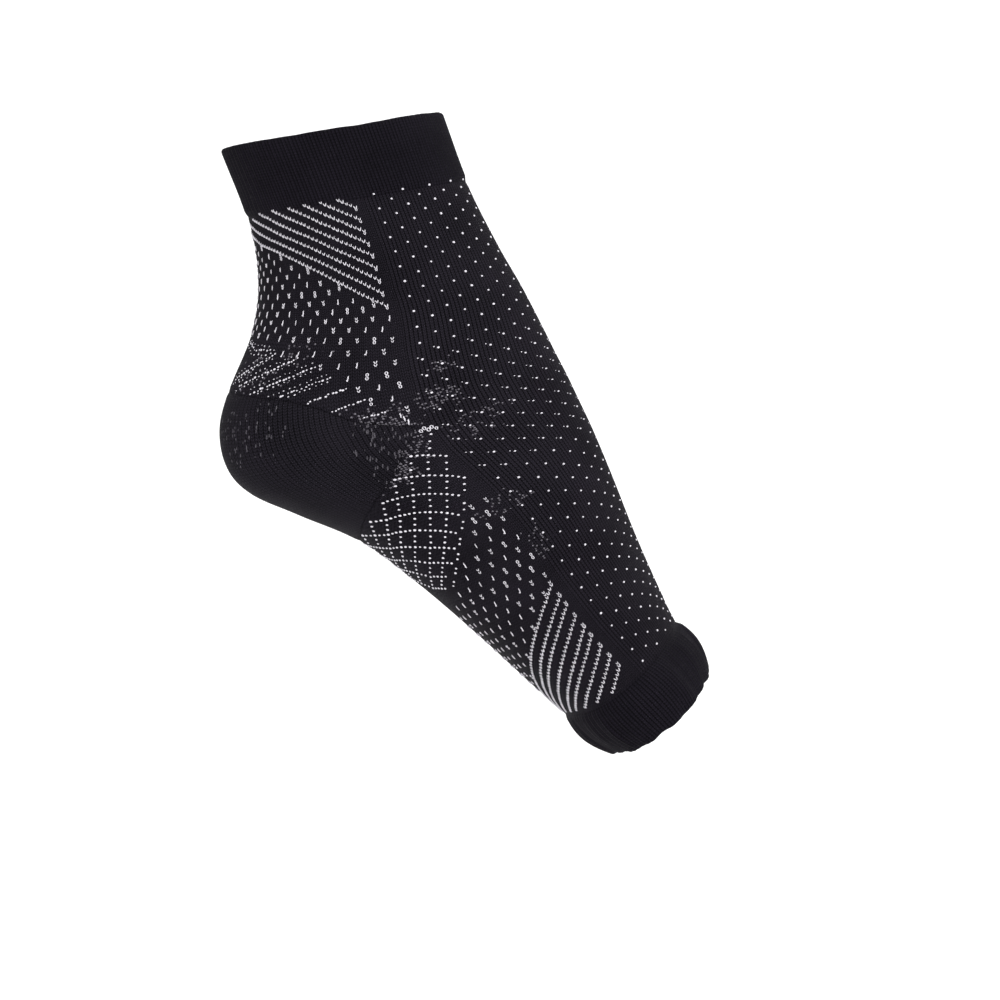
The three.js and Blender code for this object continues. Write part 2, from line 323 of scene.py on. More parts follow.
    def row_of(self, side: np.ndarray) -> np.ndarray:
        """The row at a length down the side line from the ankle rim."""
        return np.interp(side, self.side_line, self.rows)

    def side_of(self, row: float) -> float:
        """The length down the side line at a row."""
        return float(np.interp(row, self.rows, self.side_line))


# Wales and courses of the knit

WALES = 176
HALF_WALES = WALES // 2
PANEL_EDGE = 44
RIB_MARGIN = 3


@dataclass(frozen=True)
class CourseMark:
    """A counted course and how far down the side line it lies."""

    course: float
    side: float


COURSE_MARKS = (
    CourseMark(-6, 19.5 * MM),
    CourseMark(0, 24.6 * MM),
    CourseMark(27, 47.6 * MM),
    CourseMark(51, 68.9 * MM),
    CourseMark(75, 93.0 * MM),
    CourseMark(87, 106.9 * MM),
    CourseMark(105, 128.2 * MM),
    CourseMark(123, 147.9 * MM),
    CourseMark(153, 177.7 * MM),
    CourseMark(183, 206.2 * MM),
    CourseMark(198, 219.7 * MM),
    CourseMark(214, 234.0 * MM),
)


@dataclass(frozen=True)
class PanelEdgeMark:
    """Where the edge of the instep panel lies: a length down the side line and a turn."""

    side: float
    turn: float


PANEL_EDGE_MARKS = (
    PanelEdgeMark(25 * MM, 0.257),
    PanelEdgeMark(58 * MM, 0.257),
    PanelEdgeMark(74 * MM, 0.245),
    PanelEdgeMark(92 * MM, 0.2326),
    PanelEdgeMark(104 * MM, 0.229),
    PanelEdgeMark(120 * MM, 0.243),
    PanelEdgeMark(135 * MM, 0.249),
    PanelEdgeMark(180 * MM, 0.25),
    PanelEdgeMark(200 * MM, 0.2465),
    PanelEdgeMark(218 * MM, 0.24),
)


@dataclass(frozen=True)
class CourseLag:
    """How far a course runs below its mark at three wales between the panel's edge and the back."""

    course: float
    flank: float
    rear: float
    back: float


LAG_WALES = (PANEL_EDGE, 60, 72, HALF_WALES)
COURSE_LAGS = (
    CourseLag(-6, 0, 1.5 * MM, 6.0 * MM),
    CourseLag(10, 0, 1.6 * MM, 5.5 * MM),
    CourseLag(20, -0.2 * MM, 0.4 * MM, 2.5 * MM),
    CourseLag(33, -0.8 * MM, -1.5 * MM, -2.5 * MM),
    CourseLag(41, -1.4 * MM, -2.5 * MM, -4.5 * MM),
    CourseLag(49, -2.5 * MM, -4.4 * MM, -7.0 * MM),
    CourseLag(57, -4.3 * MM, -7.6 * MM, -12.0 * MM),
    CourseLag(75, -3.0 * MM, -5.0 * MM, -8.0 * MM),
    CourseLag(120, 0, 0, 0),
    CourseLag(214, 0, 0, 0),
)


class KnitMap:
    """Places wales and courses of the knit on the surface."""

    COUNT_STEPS = 441

    def __init__(self, surface: SleeveSurface) -> None:
        """Keeps the surface and the tables of marks.

        Args:
            surface: the sleeve's outer face.
        """
        self.surface = surface
        self.courses = np.array([mark.course for mark in COURSE_MARKS])
        self.sides = np.array([mark.side for mark in COURSE_MARKS])
        self.edge_sides = np.array([mark.side for mark in PANEL_EDGE_MARKS])
        self.edge_turns = np.array([mark.turn for mark in PANEL_EDGE_MARKS])
        self.lag_courses = np.array([lag.course for lag in COURSE_LAGS])
        self.lags = np.array([[0, lag.flank, lag.rear, lag.back] for lag in COURSE_LAGS])

    def turn(self, wale: np.ndarray, side: np.ndarray) -> np.ndarray:
        """The turn of a wale at a length down the side line."""
        wale = np.mod(wale, WALES)
        near = np.minimum(wale, WALES - wale)
        edge = np.interp(side, self.edge_sides, self.edge_turns)
        panel = edge * near / PANEL_EDGE
        rear = edge + (0.5 - edge) * (near - PANEL_EDGE) / (HALF_WALES - PANEL_EDGE)
        turn = np.where(near < PANEL_EDGE, panel, rear)
        return np.where(wale <= HALF_WALES, turn, 1 - turn)

    def side(self, course: np.ndarray, wale: np.ndarray) -> np.ndarray:
        """The length down the side line at which a course crosses a wale."""
        course, wale = np.broadcast_arrays(np.asarray(course, float), np.asarray(wale, float))
        near = np.minimum(wale, WALES - wale)
        lags = np.stack([np.interp(course, self.lag_courses, self.lags[:, step]) for step in range(4)], -1)
        place = np.interp(near, LAG_WALES, np.arange(4))
        start = np.minimum(place.astype(int), 2)[..., None]
        share = place - start[..., 0]
        before = np.take_along_axis(lags, start, -1)[..., 0]
        after = np.take_along_axis(lags, start + 1, -1)[..., 0]
        return np.interp(course, self.courses, self.sides) + before * (1 - share) + after * share

    def course(self, side: np.ndarray, wales: np.ndarray) -> np.ndarray:
        """The course at each crossing of side lengths with wales.

        Args:
            side: lengths down the side line, one for each row of the result.
            wales: wales, one for each column of the result.

        Returns:
            A grid of courses.
        """
        counts = np.linspace(self.courses[0], self.courses[-1], self.COUNT_STEPS)
        return np.stack([np.interp(side, self.side(counts, wale), counts) for wale in wales], 1)

    def point(self, wale: np.ndarray, side: np.ndarray, lift: float) -> np.ndarray:
        """Points above the surface at wales and side lengths."""
        return self.surface.at(self.surface.row_of(side), self.turn(wale, side), lift)


class HeelSeam:
    """The seam between the body and the heel pouch, as a line in the side view."""

    STEPS = 10
    BEHIND_STEPS = 24

    def __init__(self, surface: SleeveSurface) -> None:
        """Works out the seam and the closed outline of the heel behind it.

        Args:
            surface: the sleeve's outer face.
        """
        rows = np.array([place.row for place in POUCH_SEAM])
        across = np.array([place.across for place in POUCH_SEAM])
        places = surface.middle(rows, across)[:, (0, 2)]
        upper = np.linspace(0, POUCH_TIP, POUCH_TIP * self.STEPS + 1)
        lower_count = len(places) - 1 - POUCH_TIP
        lower = np.linspace(0, lower_count, lower_count * self.STEPS + 1)
        ahead = smooth_through(places[: POUCH_TIP + 1], upper)
        back = smooth_through(places[POUCH_TIP:], lower)
        self.line = np.concatenate([ahead, back[1:]])
        self.tip = places[POUCH_TIP]
        behind_rows = np.linspace(rows[-1], rows[0], self.BEHIND_STEPS)
        behind = surface.middle(behind_rows, np.full(self.BEHIND_STEPS, SEAM_OVERRUN))[:, (0, 2)]
        self.outline = np.concatenate([self.line, behind])

    def clearance(self, points: np.ndarray) -> np.ndarray:
        """Distances of points from the seam in the side view, negative on the pouch."""
        flat = points[..., (0, 2)]
        nearest = np.full(flat.shape[:-1], np.inf)
        for start, end in zip(self.line[:-1], self.line[1:]):
            way = end - start
            share = np.clip(((flat - start) @ way) / (way @ way), 0, 1)
            away = np.linalg.norm(flat - start - share[..., None] * way, axis=-1)
            nearest = np.minimum(nearest, away)
        inside = np.zeros(flat.shape[:-1], bool)
        for start, end in zip(self.outline, np.roll(self.outline, -1, axis=0)):
            if start[1] == end[1]:
                continue
            spans = (flat[..., 1] > start[1]) != (flat[..., 1] > end[1])
            crossing = start[0] + (flat[..., 1] - start[1]) * (end[0] - start[0]) / (end[1] - start[1])
            inside ^= spans & (flat[..., 0] < crossing)
        return np.where(inside, -nearest, nearest)


# Shader maths

class Value:
    """A shader socket that takes part in Python arithmetic."""

    def __init__(self, graph: "ShaderGraph", socket: bpy.types.NodeSocket) -> None:
        """Wraps a socket of a graph."""
        self.graph = graph
        self.socket = socket

    def _with(self, operation: str, *others: object) -> "Value":
        """Adds a Math node to this value and others."""
        return self.graph.maths(operation, self, *others)

    def __add__(self, other: object) -> "Value":
        """Sum."""
        return self._with("ADD", other)

    __radd__ = __add__

    def __mul__(self, other: object) -> "Value":
        """Product."""
        return self._with("MULTIPLY", other)

    __rmul__ = __mul__

    def __sub__(self, other: object) -> "Value":
        """Difference."""
        return self._with("SUBTRACT", other)

    def __rsub__(self, other: object) -> "Value":
        """Difference, with this value taken away."""
        return self.graph.maths("SUBTRACT", other, self)

    def __pow__(self, other: object) -> "Value":
        """Power."""
        return self._with("POWER", other)

    def __abs__(self) -> "Value":
        """Size without sign."""
        return self._with("ABSOLUTE")

    def fraction(self) -> "Value":
        """What lies above the whole number below."""
        return self._with("FRACT")

    def sine(self) -> "Value":
        """Sine of an angle in radians."""
        return self._with("SINE")

    def above(self, limit: object) -> "Value":
        """1 where the value is above a limit, and 0 elsewhere."""
        return self._with("GREATER_THAN", limit)

    def hump(self) -> "Value":
        """A round hump that is 0 at 0 and at 1, and 1 half way."""
        off = self * 2 - 1
        return 1 - off * off


class ShaderGraph:
    """The node tree of one material."""

    def __init__(self, name: str) -> None:
        """Starts an empty material.

        Args:
            name: the material's name.
        """
        self.material = bpy.data.materials.new(name)
        self.material.use_nodes = True
        self.tree = self.material.node_tree
        self.tree.nodes.clear()

    def node(self, kind: str, settings: dict[str, object], inputs: dict[object, object]) -> bpy.types.Node:
        """Adds a node.

        Args:
            kind: the node's type.
            settings: properties of the node, set first.
            inputs: values or links for its sockets, by name or number.

        Returns:
            The new node.
        """
        node = self.tree.nodes.new(kind)
        for name, value in settings.items():
            setattr(node, name, value)
        for key, value in inputs.items():
            if isinstance(value, Value):
                self.tree.links.new(value.socket, node.inputs[key])
            elif isinstance(value, bpy.types.NodeSocket):
                self.tree.links.new(value, node.inputs[key])
            else:
                node.inputs[key].default_value = value
        return node

    def value(
        self, kind: str, settings: dict[str, object], inputs: dict[object, object], output: object
    ) -> Value:
        """Adds a node and wraps one of its outputs."""
        return Value(self, self.node(kind, settings, inputs).outputs[output])

    def maths(self, operation: str, *terms: object) -> Value:
        """Adds a Math node to terms that are values or numbers."""
        inputs = dict(enumerate(terms))
        return self.value("ShaderNodeMath", {"operation": operation}, inputs, 0)

    def mix(self, factor: Value, first: object, second: object) -> Value:
        """Mixes two colours by a value."""
        settings = {"data_type": "RGBA", "clamp_factor": True}
        return self.value("ShaderNodeMix", settings, {0: factor, 6: first, 7: second}, 2)

    def knit_place(self) -> tuple[Value, Value]:
        """The wale and the course of a point."""
        uv = self.node("ShaderNodeUVMap", {"uv_map": KNIT_MAP_NAME}, {}).outputs["UV"]
        parts = self.node("ShaderNodeSeparateXYZ", {}, {"Vector": uv})
        return Value(self, parts.outputs[0]), Value(self, parts.outputs[1])

    def object_place(self) -> bpy.types.NodeSocket:
        """The point's place in metres."""
        return self.node("ShaderNodeTexCoord", {}, {}).outputs["Object"]

    def noise(self, scale: float, detail: float = 2.0) -> Value:
        """Soft noise in space."""
        inputs = {"Vector": self.object_place(), "Scale": scale, "Detail": detail}
        return self.value("ShaderNodeTexNoise", {}, inputs, "Fac")

    def bump(self, strength: float, distance: float, height: Value) -> bpy.types.NodeSocket:
        """The normal that a height gives."""
        inputs = {"Strength": strength, "Distance": distance, "Height": height}
        return self.node("ShaderNodeBump", {}, inputs).outputs[0]

    def finish(self, surface: dict[str, object]) -> bpy.types.Material:
        """Adds the surface shader and the output.

        Args:
            surface: values or links of the shader's sockets.

        Returns:
            The finished material.
        """
        shader = self.node("ShaderNodeBsdfPrincipled", {}, surface)
        self.node("ShaderNodeOutputMaterial", {}, {"Surface": shader.outputs[0]})
        return self.material


KNIT_MAP_NAME = "knit"
GHOST_NAME = "ghost_yarn"
Colour = tuple[float, float, float, float]


@dataclass(frozen=True)
class KnitFinish:
    """Matt dark elastic yarn, knitted plain, with the legs of each stitch standing up as a V.

    Args:
        name: the material's name.
        valley_painted_shade: painted shade in the hollows between the stitches, the dark end of the colour
            mix.
        crest: colour of the yarn's top.
        roughness: roughness of the yarn.
        stitch_depth: height of a stitch above the ground.
        legs: slant of a stitch's legs, in courses.
        ribs: painted light and shade across the ribs: how much lighter their crests are painted than their
            grooves.
        ghost: how much of the white yarn shows through where the mesh is marked for it.
        wispy: whether it shows as upright wisps, and not stitch by stitch.
        instep_ribs: whether the ribs run over the instep alone.
    """

    name: str
    valley_painted_shade: Colour
    crest: Colour
    roughness: float
    stitch_depth: float
    legs: float
    ribs: float
    ghost: float
    wispy: bool = False
    instep_ribs: bool = False

    def material(self) -> bpy.types.Material:
        """Builds the knit as a material."""
        graph = ShaderGraph(self.name)
        wale, course = graph.knit_place()
        slope = abs(wale.fraction() - 0.5) * 2
        leg = slope.hump()
        lap = (course + slope * self.legs).fraction().hump()
        stitch = (leg * lap) ** 0.6
        patches = graph.noise(45.0, 3.0)
        fuzz = graph.noise(2600.0)
        # The stitch's height drives the colour: its top takes the crest colour and the hollows between
        # stitches take painted shade; patches and fuzz add random tone.
        tone = stitch * 0.62 + (patches - 0.5) * 0.5 + (fuzz - 0.5) * 0.7
        # Painted light and shade across the ribs: crests lighter, grooves darker.
        if self.ribs > 0:
            crest = (wale * 2 * math.pi - math.pi / 2).sine() * self.ribs
            if self.instep_ribs:
                crest = crest * abs(wale - HALF_WALES).above(HALF_WALES - PANEL_EDGE + RIB_MARGIN)
            tone = tone + crest
        colour = graph.mix(tone, self.valley_painted_shade, self.crest)
        if self.ghost > 0:
            colour = self._ghosted(graph, colour, wale, course, stitch)
        return graph.finish({
            "Base Color": colour,
            "Roughness": self.roughness + (fuzz - 0.5) * 0.12,
            "Specular IOR Level": 0.025,
            "Sheen Weight": 0.006,
            "Sheen Roughness": 0.4,
            "Sheen Tint": (0.8, 0.78, 0.82, 1),
            "Normal": graph.bump(0.75, self.stitch_depth, stitch + fuzz * 0.35),
        })

    def _ghosted(self, graph: ShaderGraph, colour: Value, wale: Value, course: Value, stitch: Value) -> Value:
        """Lets the white yarn behind the dark one shine through single stitches.

        Args:
            graph: the material's nodes.
            colour: the dark yarn's colour.
            wale: the wale of a point.
            course: the course of a point.
            stitch: the height of the stitch at a point.

        Returns:
            The colour with the ghost stitches in it.
        """
        mark = graph.value("ShaderNodeAttribute", {"attribute_name": GHOST_NAME}, {}, "Fac")
        cell = graph.node("ShaderNodeCombineXYZ", {}, {0: wale * 1.5, 1: course * 1.4}).outputs[0]
        settings = {"voronoi_dimensions": "2D"}
        looseness = 0.25
        if self.wispy:
            spread = {0: graph.object_place(), 1: (1300.0, 1300.0, 480.0)}
            cell = graph.node("ShaderNodeVectorMath", {"operation": "MULTIPLY"}, spread).outputs[0]
            settings = {"voronoi_dimensions": "3D"}
            looseness = 1.0
        reach = {"Vector": cell, "Scale": 1.0, "Randomness": looseness}
        specks = graph.node("ShaderNodeTexVoronoi", settings, reach)
        chance = Value(graph, specks.outputs["Color"])
        dot = 1 - Value(graph, specks.outputs["Distance"]).above(0.36)
        shown = (chance + mark).above(1.0) * dot * (stitch * 0.6 + 0.4) * self.ghost
        return graph.mix(shown, colour, (0.32, 0.3, 0.34, 1))


@dataclass(frozen=True)
class WhiteYarnFinish:
    """White polyester yarn: bright, a little satin, with fine plies."""

    name: str = "white_yarn"
    light: Colour = (0.62, 0.6, 0.64, 1)
    shade: Colour = (0.26, 0.25, 0.28, 1)

    def material(self) -> bpy.types.Material:
        """Builds the yarn as a material."""
        graph = ShaderGraph(self.name)
        plies = graph.noise(3200.0)
        patches = graph.noise(300.0, 1.0)
        colour = graph.mix(plies * 0.6 + patches * 0.7, self.shade, self.light)
        return graph.finish({
            "Base Color": colour,
            "Roughness": 0.5 + plies * 0.15,
            "Specular IOR Level": 0.25,
            "Normal": graph.bump(0.4, 0.08 * MM, plies),
        })


@dataclass(frozen=True)
class PaperFinish:
    """Plain white backdrop paper."""

    name: str = "backdrop_paper"
    tone: Colour = (0.92, 0.92, 0.92, 1)

    def material(self) -> bpy.types.Material:
        """Builds the paper as a material."""
        graph = ShaderGraph(self.name)
        grain = graph.bump(0.05, 0.1 * MM, graph.noise(400.0))
        return graph.finish({"Base Color": self.tone, "Roughness": 0.9, "Normal": grain})


# Painted shade for the hollows between the stitches of every knit.
VALLEY_PAINTED_SHADE: Colour = (0.0006, 0.0005, 0.0009, 1)


class Finish(Enum):
    """The finishes of the sleeve."""

    RIB_KNIT = KnitFinish(
        name="rib_knit",
        valley_painted_shade=VALLEY_PAINTED_SHADE,
        crest=(0.0115, 0.0098, 0.0148, 1),
        roughness=0.7,
        stitch_depth=0.18 * MM,
        legs=0.5,
        ribs=0.24,
        ghost=0.0,
    )
    JACQUARD_KNIT = KnitFinish(
        name="jacquard_knit",
        valley_painted_shade=VALLEY_PAINTED_SHADE,
        crest=(0.0165, 0.0142, 0.02, 1),
        roughness=0.72,
        stitch_depth=0.24 * MM,
        legs=0.7,
        ribs=0.24,
        ghost=0.34,
        instep_ribs=True,
    )
    PLAIN_KNIT = KnitFinish(
        name="plain_knit",
        valley_painted_shade=VALLEY_PAINTED_SHADE,
        crest=(0.017, 0.0148, 0.0206, 1),
        roughness=0.7,
        stitch_depth=0.26 * MM,
        legs=0.6,
        ribs=0.12,
        ghost=0.2,
        wispy=True,
    )
    WHITE_YARN = WhiteYarnFinish()


# Meshes

class Shell:
    """A closed knitted wall: outer faces, the same faces inside, and strips round the open edges."""

    def __init__(self, name: str) -> None:
        """Starts an empty shell.

        Args:
            name: the name of the piece.
        """
        self.name = name

    def build(
        self,
        outer: np.ndarray,
        inner: np.ndarray,
        faces: list[tuple[int, ...]],
        knit: np.ndarray,
        ghost: np.ndarray | None = None,
    ) -> bpy.types.Object:
        """Makes the mesh.

        Args:
            outer: points of the outer skin.
            inner: points of the inner skin, one for each outer point.
            faces: faces of the outer skin, as numbers of points.
            knit: wale and course of each point.
            ghost: how likely white yarn shows through at each point.

        Returns:
            The new object.
        """
        used = np.unique(np.concatenate([np.array(face) for face in faces]))
        number = np.full(len(outer), -1)
        number[used] = np.arange(len(used))
        count = len(used)
        skin = [tuple(int(number[index]) for index in face) for face in faces]
        edges: dict[tuple[int, int], tuple[int, int]] = {}
        for face in skin:
            for first, second in zip(face, face[1:] + face[:1]):
                key = (min(first, second), max(first, second))
                if key in edges:
                    del edges[key]
                else:
                    edges[key] = (first, second)
        lining = [tuple(index + count for index in reversed(face)) for face in skin]
        strips = [(second, first, first + count, second + count) for first, second in edges.values()]
        points = np.concatenate([outer[used], inner[used]])
        places = np.concatenate([knit[used], knit[used]])
        marks = None if ghost is None else np.concatenate([ghost[used], 0 * ghost[used]])
        return mesh_object(self.name, points, skin + lining + strips, places, marks)


def mesh_object(
    name: str,
    points: np.ndarray,
    faces: list[tuple[int, ...]],
    knit: np.ndarray,
    ghost: np.ndarray | None = None,
) -> bpy.types.Object:
    """Makes a smooth mesh object with its knit places.

    Args:
        name: the name of the piece.
        points: its points.
        faces: its faces, as numbers of points.
        knit: wale and course of each point.
        ghost: how likely white yarn shows through at each point.

    Returns:
        The new object, in the scene.
    """
    mesh = bpy.data.meshes.new(name)
    mesh.from_pydata(points.tolist(), [], faces)
    corners = np.empty(len(mesh.loops), np.int32)
    mesh.loops.foreach_get("vertex_index", corners)
    starts = np.empty(len(mesh.polygons), np.int32)
    totals = np.empty(len(mesh.polygons), np.int32)
    mesh.polygons.foreach_get("loop_start", starts)
    mesh.polygons.foreach_get("loop_total", totals)
    places = knit[corners].copy()
    face_of = np.repeat(np.arange(len(starts)), totals)
    highest = np.maximum.reduceat(places[:, 0], starts)[face_of]
    wraps = highest - places[:, 0] > WALES / 2
    places[wraps, 0] += WALES
    layer = mesh.uv_layers.new(name=KNIT_MAP_NAME)
    layer.data.foreach_set("uv", places.astype(np.float32).ravel())
    if ghost is not None:
        marks = mesh.attributes.new(GHOST_NAME, "FLOAT", "POINT")
        marks.data.foreach_set("value", ghost.astype(np.float32))
    mesh.polygons.foreach_set("use_smooth", np.ones(len(mesh.polygons), bool))
    mesh.update()
    made = bpy.data.objects.new(name, mesh)
    bpy.context.scene.collection.objects.link(made)
    return made


def dress(piece: bpy.types.Object, material: bpy.types.Material) -> None:
    """Gives a piece its material and its body, and logs it.

    Args:
        piece: the piece.
        material: the material built from that finish.
    """
    piece.data.materials.append(material)
    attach(piece, "root")
    log.info("%s: %d faces", piece.name, len(piece.data.polygons))


@dataclass
class RibbedCuff:
    """A doubled, ribbed welt with a round fold at its free end.

    Args:
        name: the name of the piece.
        root: the row at which it meets the body.
        rim: the row of its free end.
        wall: thickness of the doubled knit.
        step: how far it stands above the body.
        root_sink: how far its root lies below the body.
        taper: share of its height over which it rises from the root.
        puff: how far its middle swells.
        rim_wander: how far its free end strays up and down.
        gather_count: waves round it.
        gather_height: height of the waves.
        ribs: ribs round it.
        relief: depth of the grooves between the ribs.
        facets_per_rib: mesh columns for each rib.
        rings: mesh rows down the outer face.
        fold_rings: mesh rows round the fold.
        courses: courses down the outer face.
        seed: seed of the small unevenness.
    """

    name: str
    root: float
    rim: float
    wall: float = 2.2 * MM
    step: float = 0.6 * MM
    root_sink: float = 0.15 * MM
    taper: float = 0.13
    puff: float = 0.0
    rim_wander: float = 0.12 * MM
    gather_count: int = 9
    gather_height: float = 0.0
    ribs: int = HALF_WALES
    relief: float = 0.32 * MM
    facets_per_rib: int = 5
    rings: int = 30
    fold_rings: int = 8
    courses: int = 26
    seed: int = 3

    def build(self, surface: SleeveSurface) -> bpy.types.Object:
        """Makes the cuff.

        Args:
            surface: the sleeve's outer face.

        Returns:
            The new object.
        """
        facets = self.ribs * self.facets_per_rib
        turn = np.arange(facets) / facets
        pitch = abs(surface.side_of(self.rim) - surface.side_of(self.root)) / abs(self.rim - self.root)
        fold = self.wall / 2 / pitch * np.sign(self.rim - self.root)
        shoulder = self.rim - fold
        drop = self._profile(shoulder, fold)
        rng = np.random.default_rng(self.seed)
        uneven = sum(
            rng.uniform(-1, 1) * np.cos(2 * math.pi * (wave * turn + rng.uniform()))
            for wave in (3, 5, 8, 13, 21)
        )
        groove = 0.5 - 0.5 * np.cos(2 * math.pi * self.ribs * turn)
        gather = np.cos(2 * math.pi * self.gather_count * turn + 0.9 * uneven)
        rings = []
        for row, lift, depth in drop:
            share = np.clip((row - self.root) / (self.rim - self.root), 0, 1)
            swell = math.sin(math.pi * share) * (self.puff + self.gather_height * gather)
            ripple = 0.12 * MM * uneven * share
            shift = self.rim_wander / pitch * uneven * share * np.sign(self.rim - self.root)
            height = lift + swell + ripple - self.relief * depth * groove
            rings.append(surface.at(np.clip(row + shift, ANKLE_RIM, TOE_RIM), turn, height))
        return self._mesh(np.array(rings), turn)

    def _profile(self, shoulder: float, fold: float) -> list[tuple[float, float, float]]:
        """Rows, heights and rib shares from the root over the fold and back inside."""
        rows = np.linspace(self.root, shoulder, self.rings)
        profile = []
        for row in rows:
            share = min(abs(row - self.root) / abs(shoulder - self.root) / self.taper, 1.0)
            rise = share * share * (3 - 2 * share)
            profile.append((row, self.step * rise - self.root_sink * (1 - rise), rise))
        for angle in np.linspace(0, math.pi, self.fold_rings + 2)[1:-1]:
            row = shoulder + fold * math.sin(angle)
            lift = self.step - self.wall / 2 * (1 - math.cos(angle))
            profile.append((row, lift, 0.5 + 0.5 * math.cos(angle)))
        profile += [(row, self.step - self.wall, 0.0) for row in rows[::-3]]
        profile.append((self.root, self.step - self.wall, 0.0))
        return profile

    def _mesh(self, rings: np.ndarray, turn: np.ndarray) -> bpy.types.Object:
        """Joins the rings into a closed mesh."""
        laps, facets = rings.shape[:2]
        faces = []
        outward = self.rim > self.root
        for lap in range(laps):
            here = lap * facets
            below = (lap + 1) % laps * facets
            for index in range(facets):
                beside = (index + 1) % facets
                face = (here + index, here + beside, below + beside, below + index)
                faces.append(face if outward else face[::-1])
        courses = np.linspace(0, self.courses * laps / self.rings, laps)
        knit = np.stack(np.broadcast_arrays(turn[None, :] * WALES, courses[:, None]), -1).reshape(-1, 2)
        return mesh_object(self.name, rings.reshape(-1, 3), faces, knit)


RIB_HEIGHT = 0.14 * MM


def rib_lift(wale: np.ndarray) -> np.ndarray:
    """Height of the instep's ribs, one for every second wale, up to a margin from the panel's edge."""
    near = np.minimum(np.mod(wale, WALES), WALES - np.mod(wale, WALES))
    crest = 0.5 + 0.5 * np.cos(math.pi * near)
    return RIB_HEIGHT * crest * np.clip((PANEL_EDGE - RIB_MARGIN - near) / 2, 0, 1)


@dataclass(frozen=True)
class GhostPatch:
    """A patch where white yarn shows through: its middle, its half sizes and how much shows."""

    wale: float
    side: float
    wales: float
    length: float
    chance: float


GHOST_PATCHES = (
    GhostPatch(72, 76 * MM, 14, 8 * MM, 0.25),
    GhostPatch(37, 99 * MM, 5.5, 5 * MM, 0.45),
    GhostPatch(34, 87 * MM, 4, 3 * MM, 0.35),
    GhostPatch(32, 110 * MM, 12, 1.2 * MM, 0.45),
    GhostPatch(33, 116 * MM, 9, 4 * MM, 0.27),
    GhostPatch(51, 108 * MM, 8, 12 * MM, 0.62),
    GhostPatch(56, 118 * MM, 9, 8 * MM, 0.55),
    GhostPatch(40, 147 * MM, 9, 4 * MM, 0.3),
    GhostPatch(40, 165 * MM, 3, 6 * MM, 0.35),
)


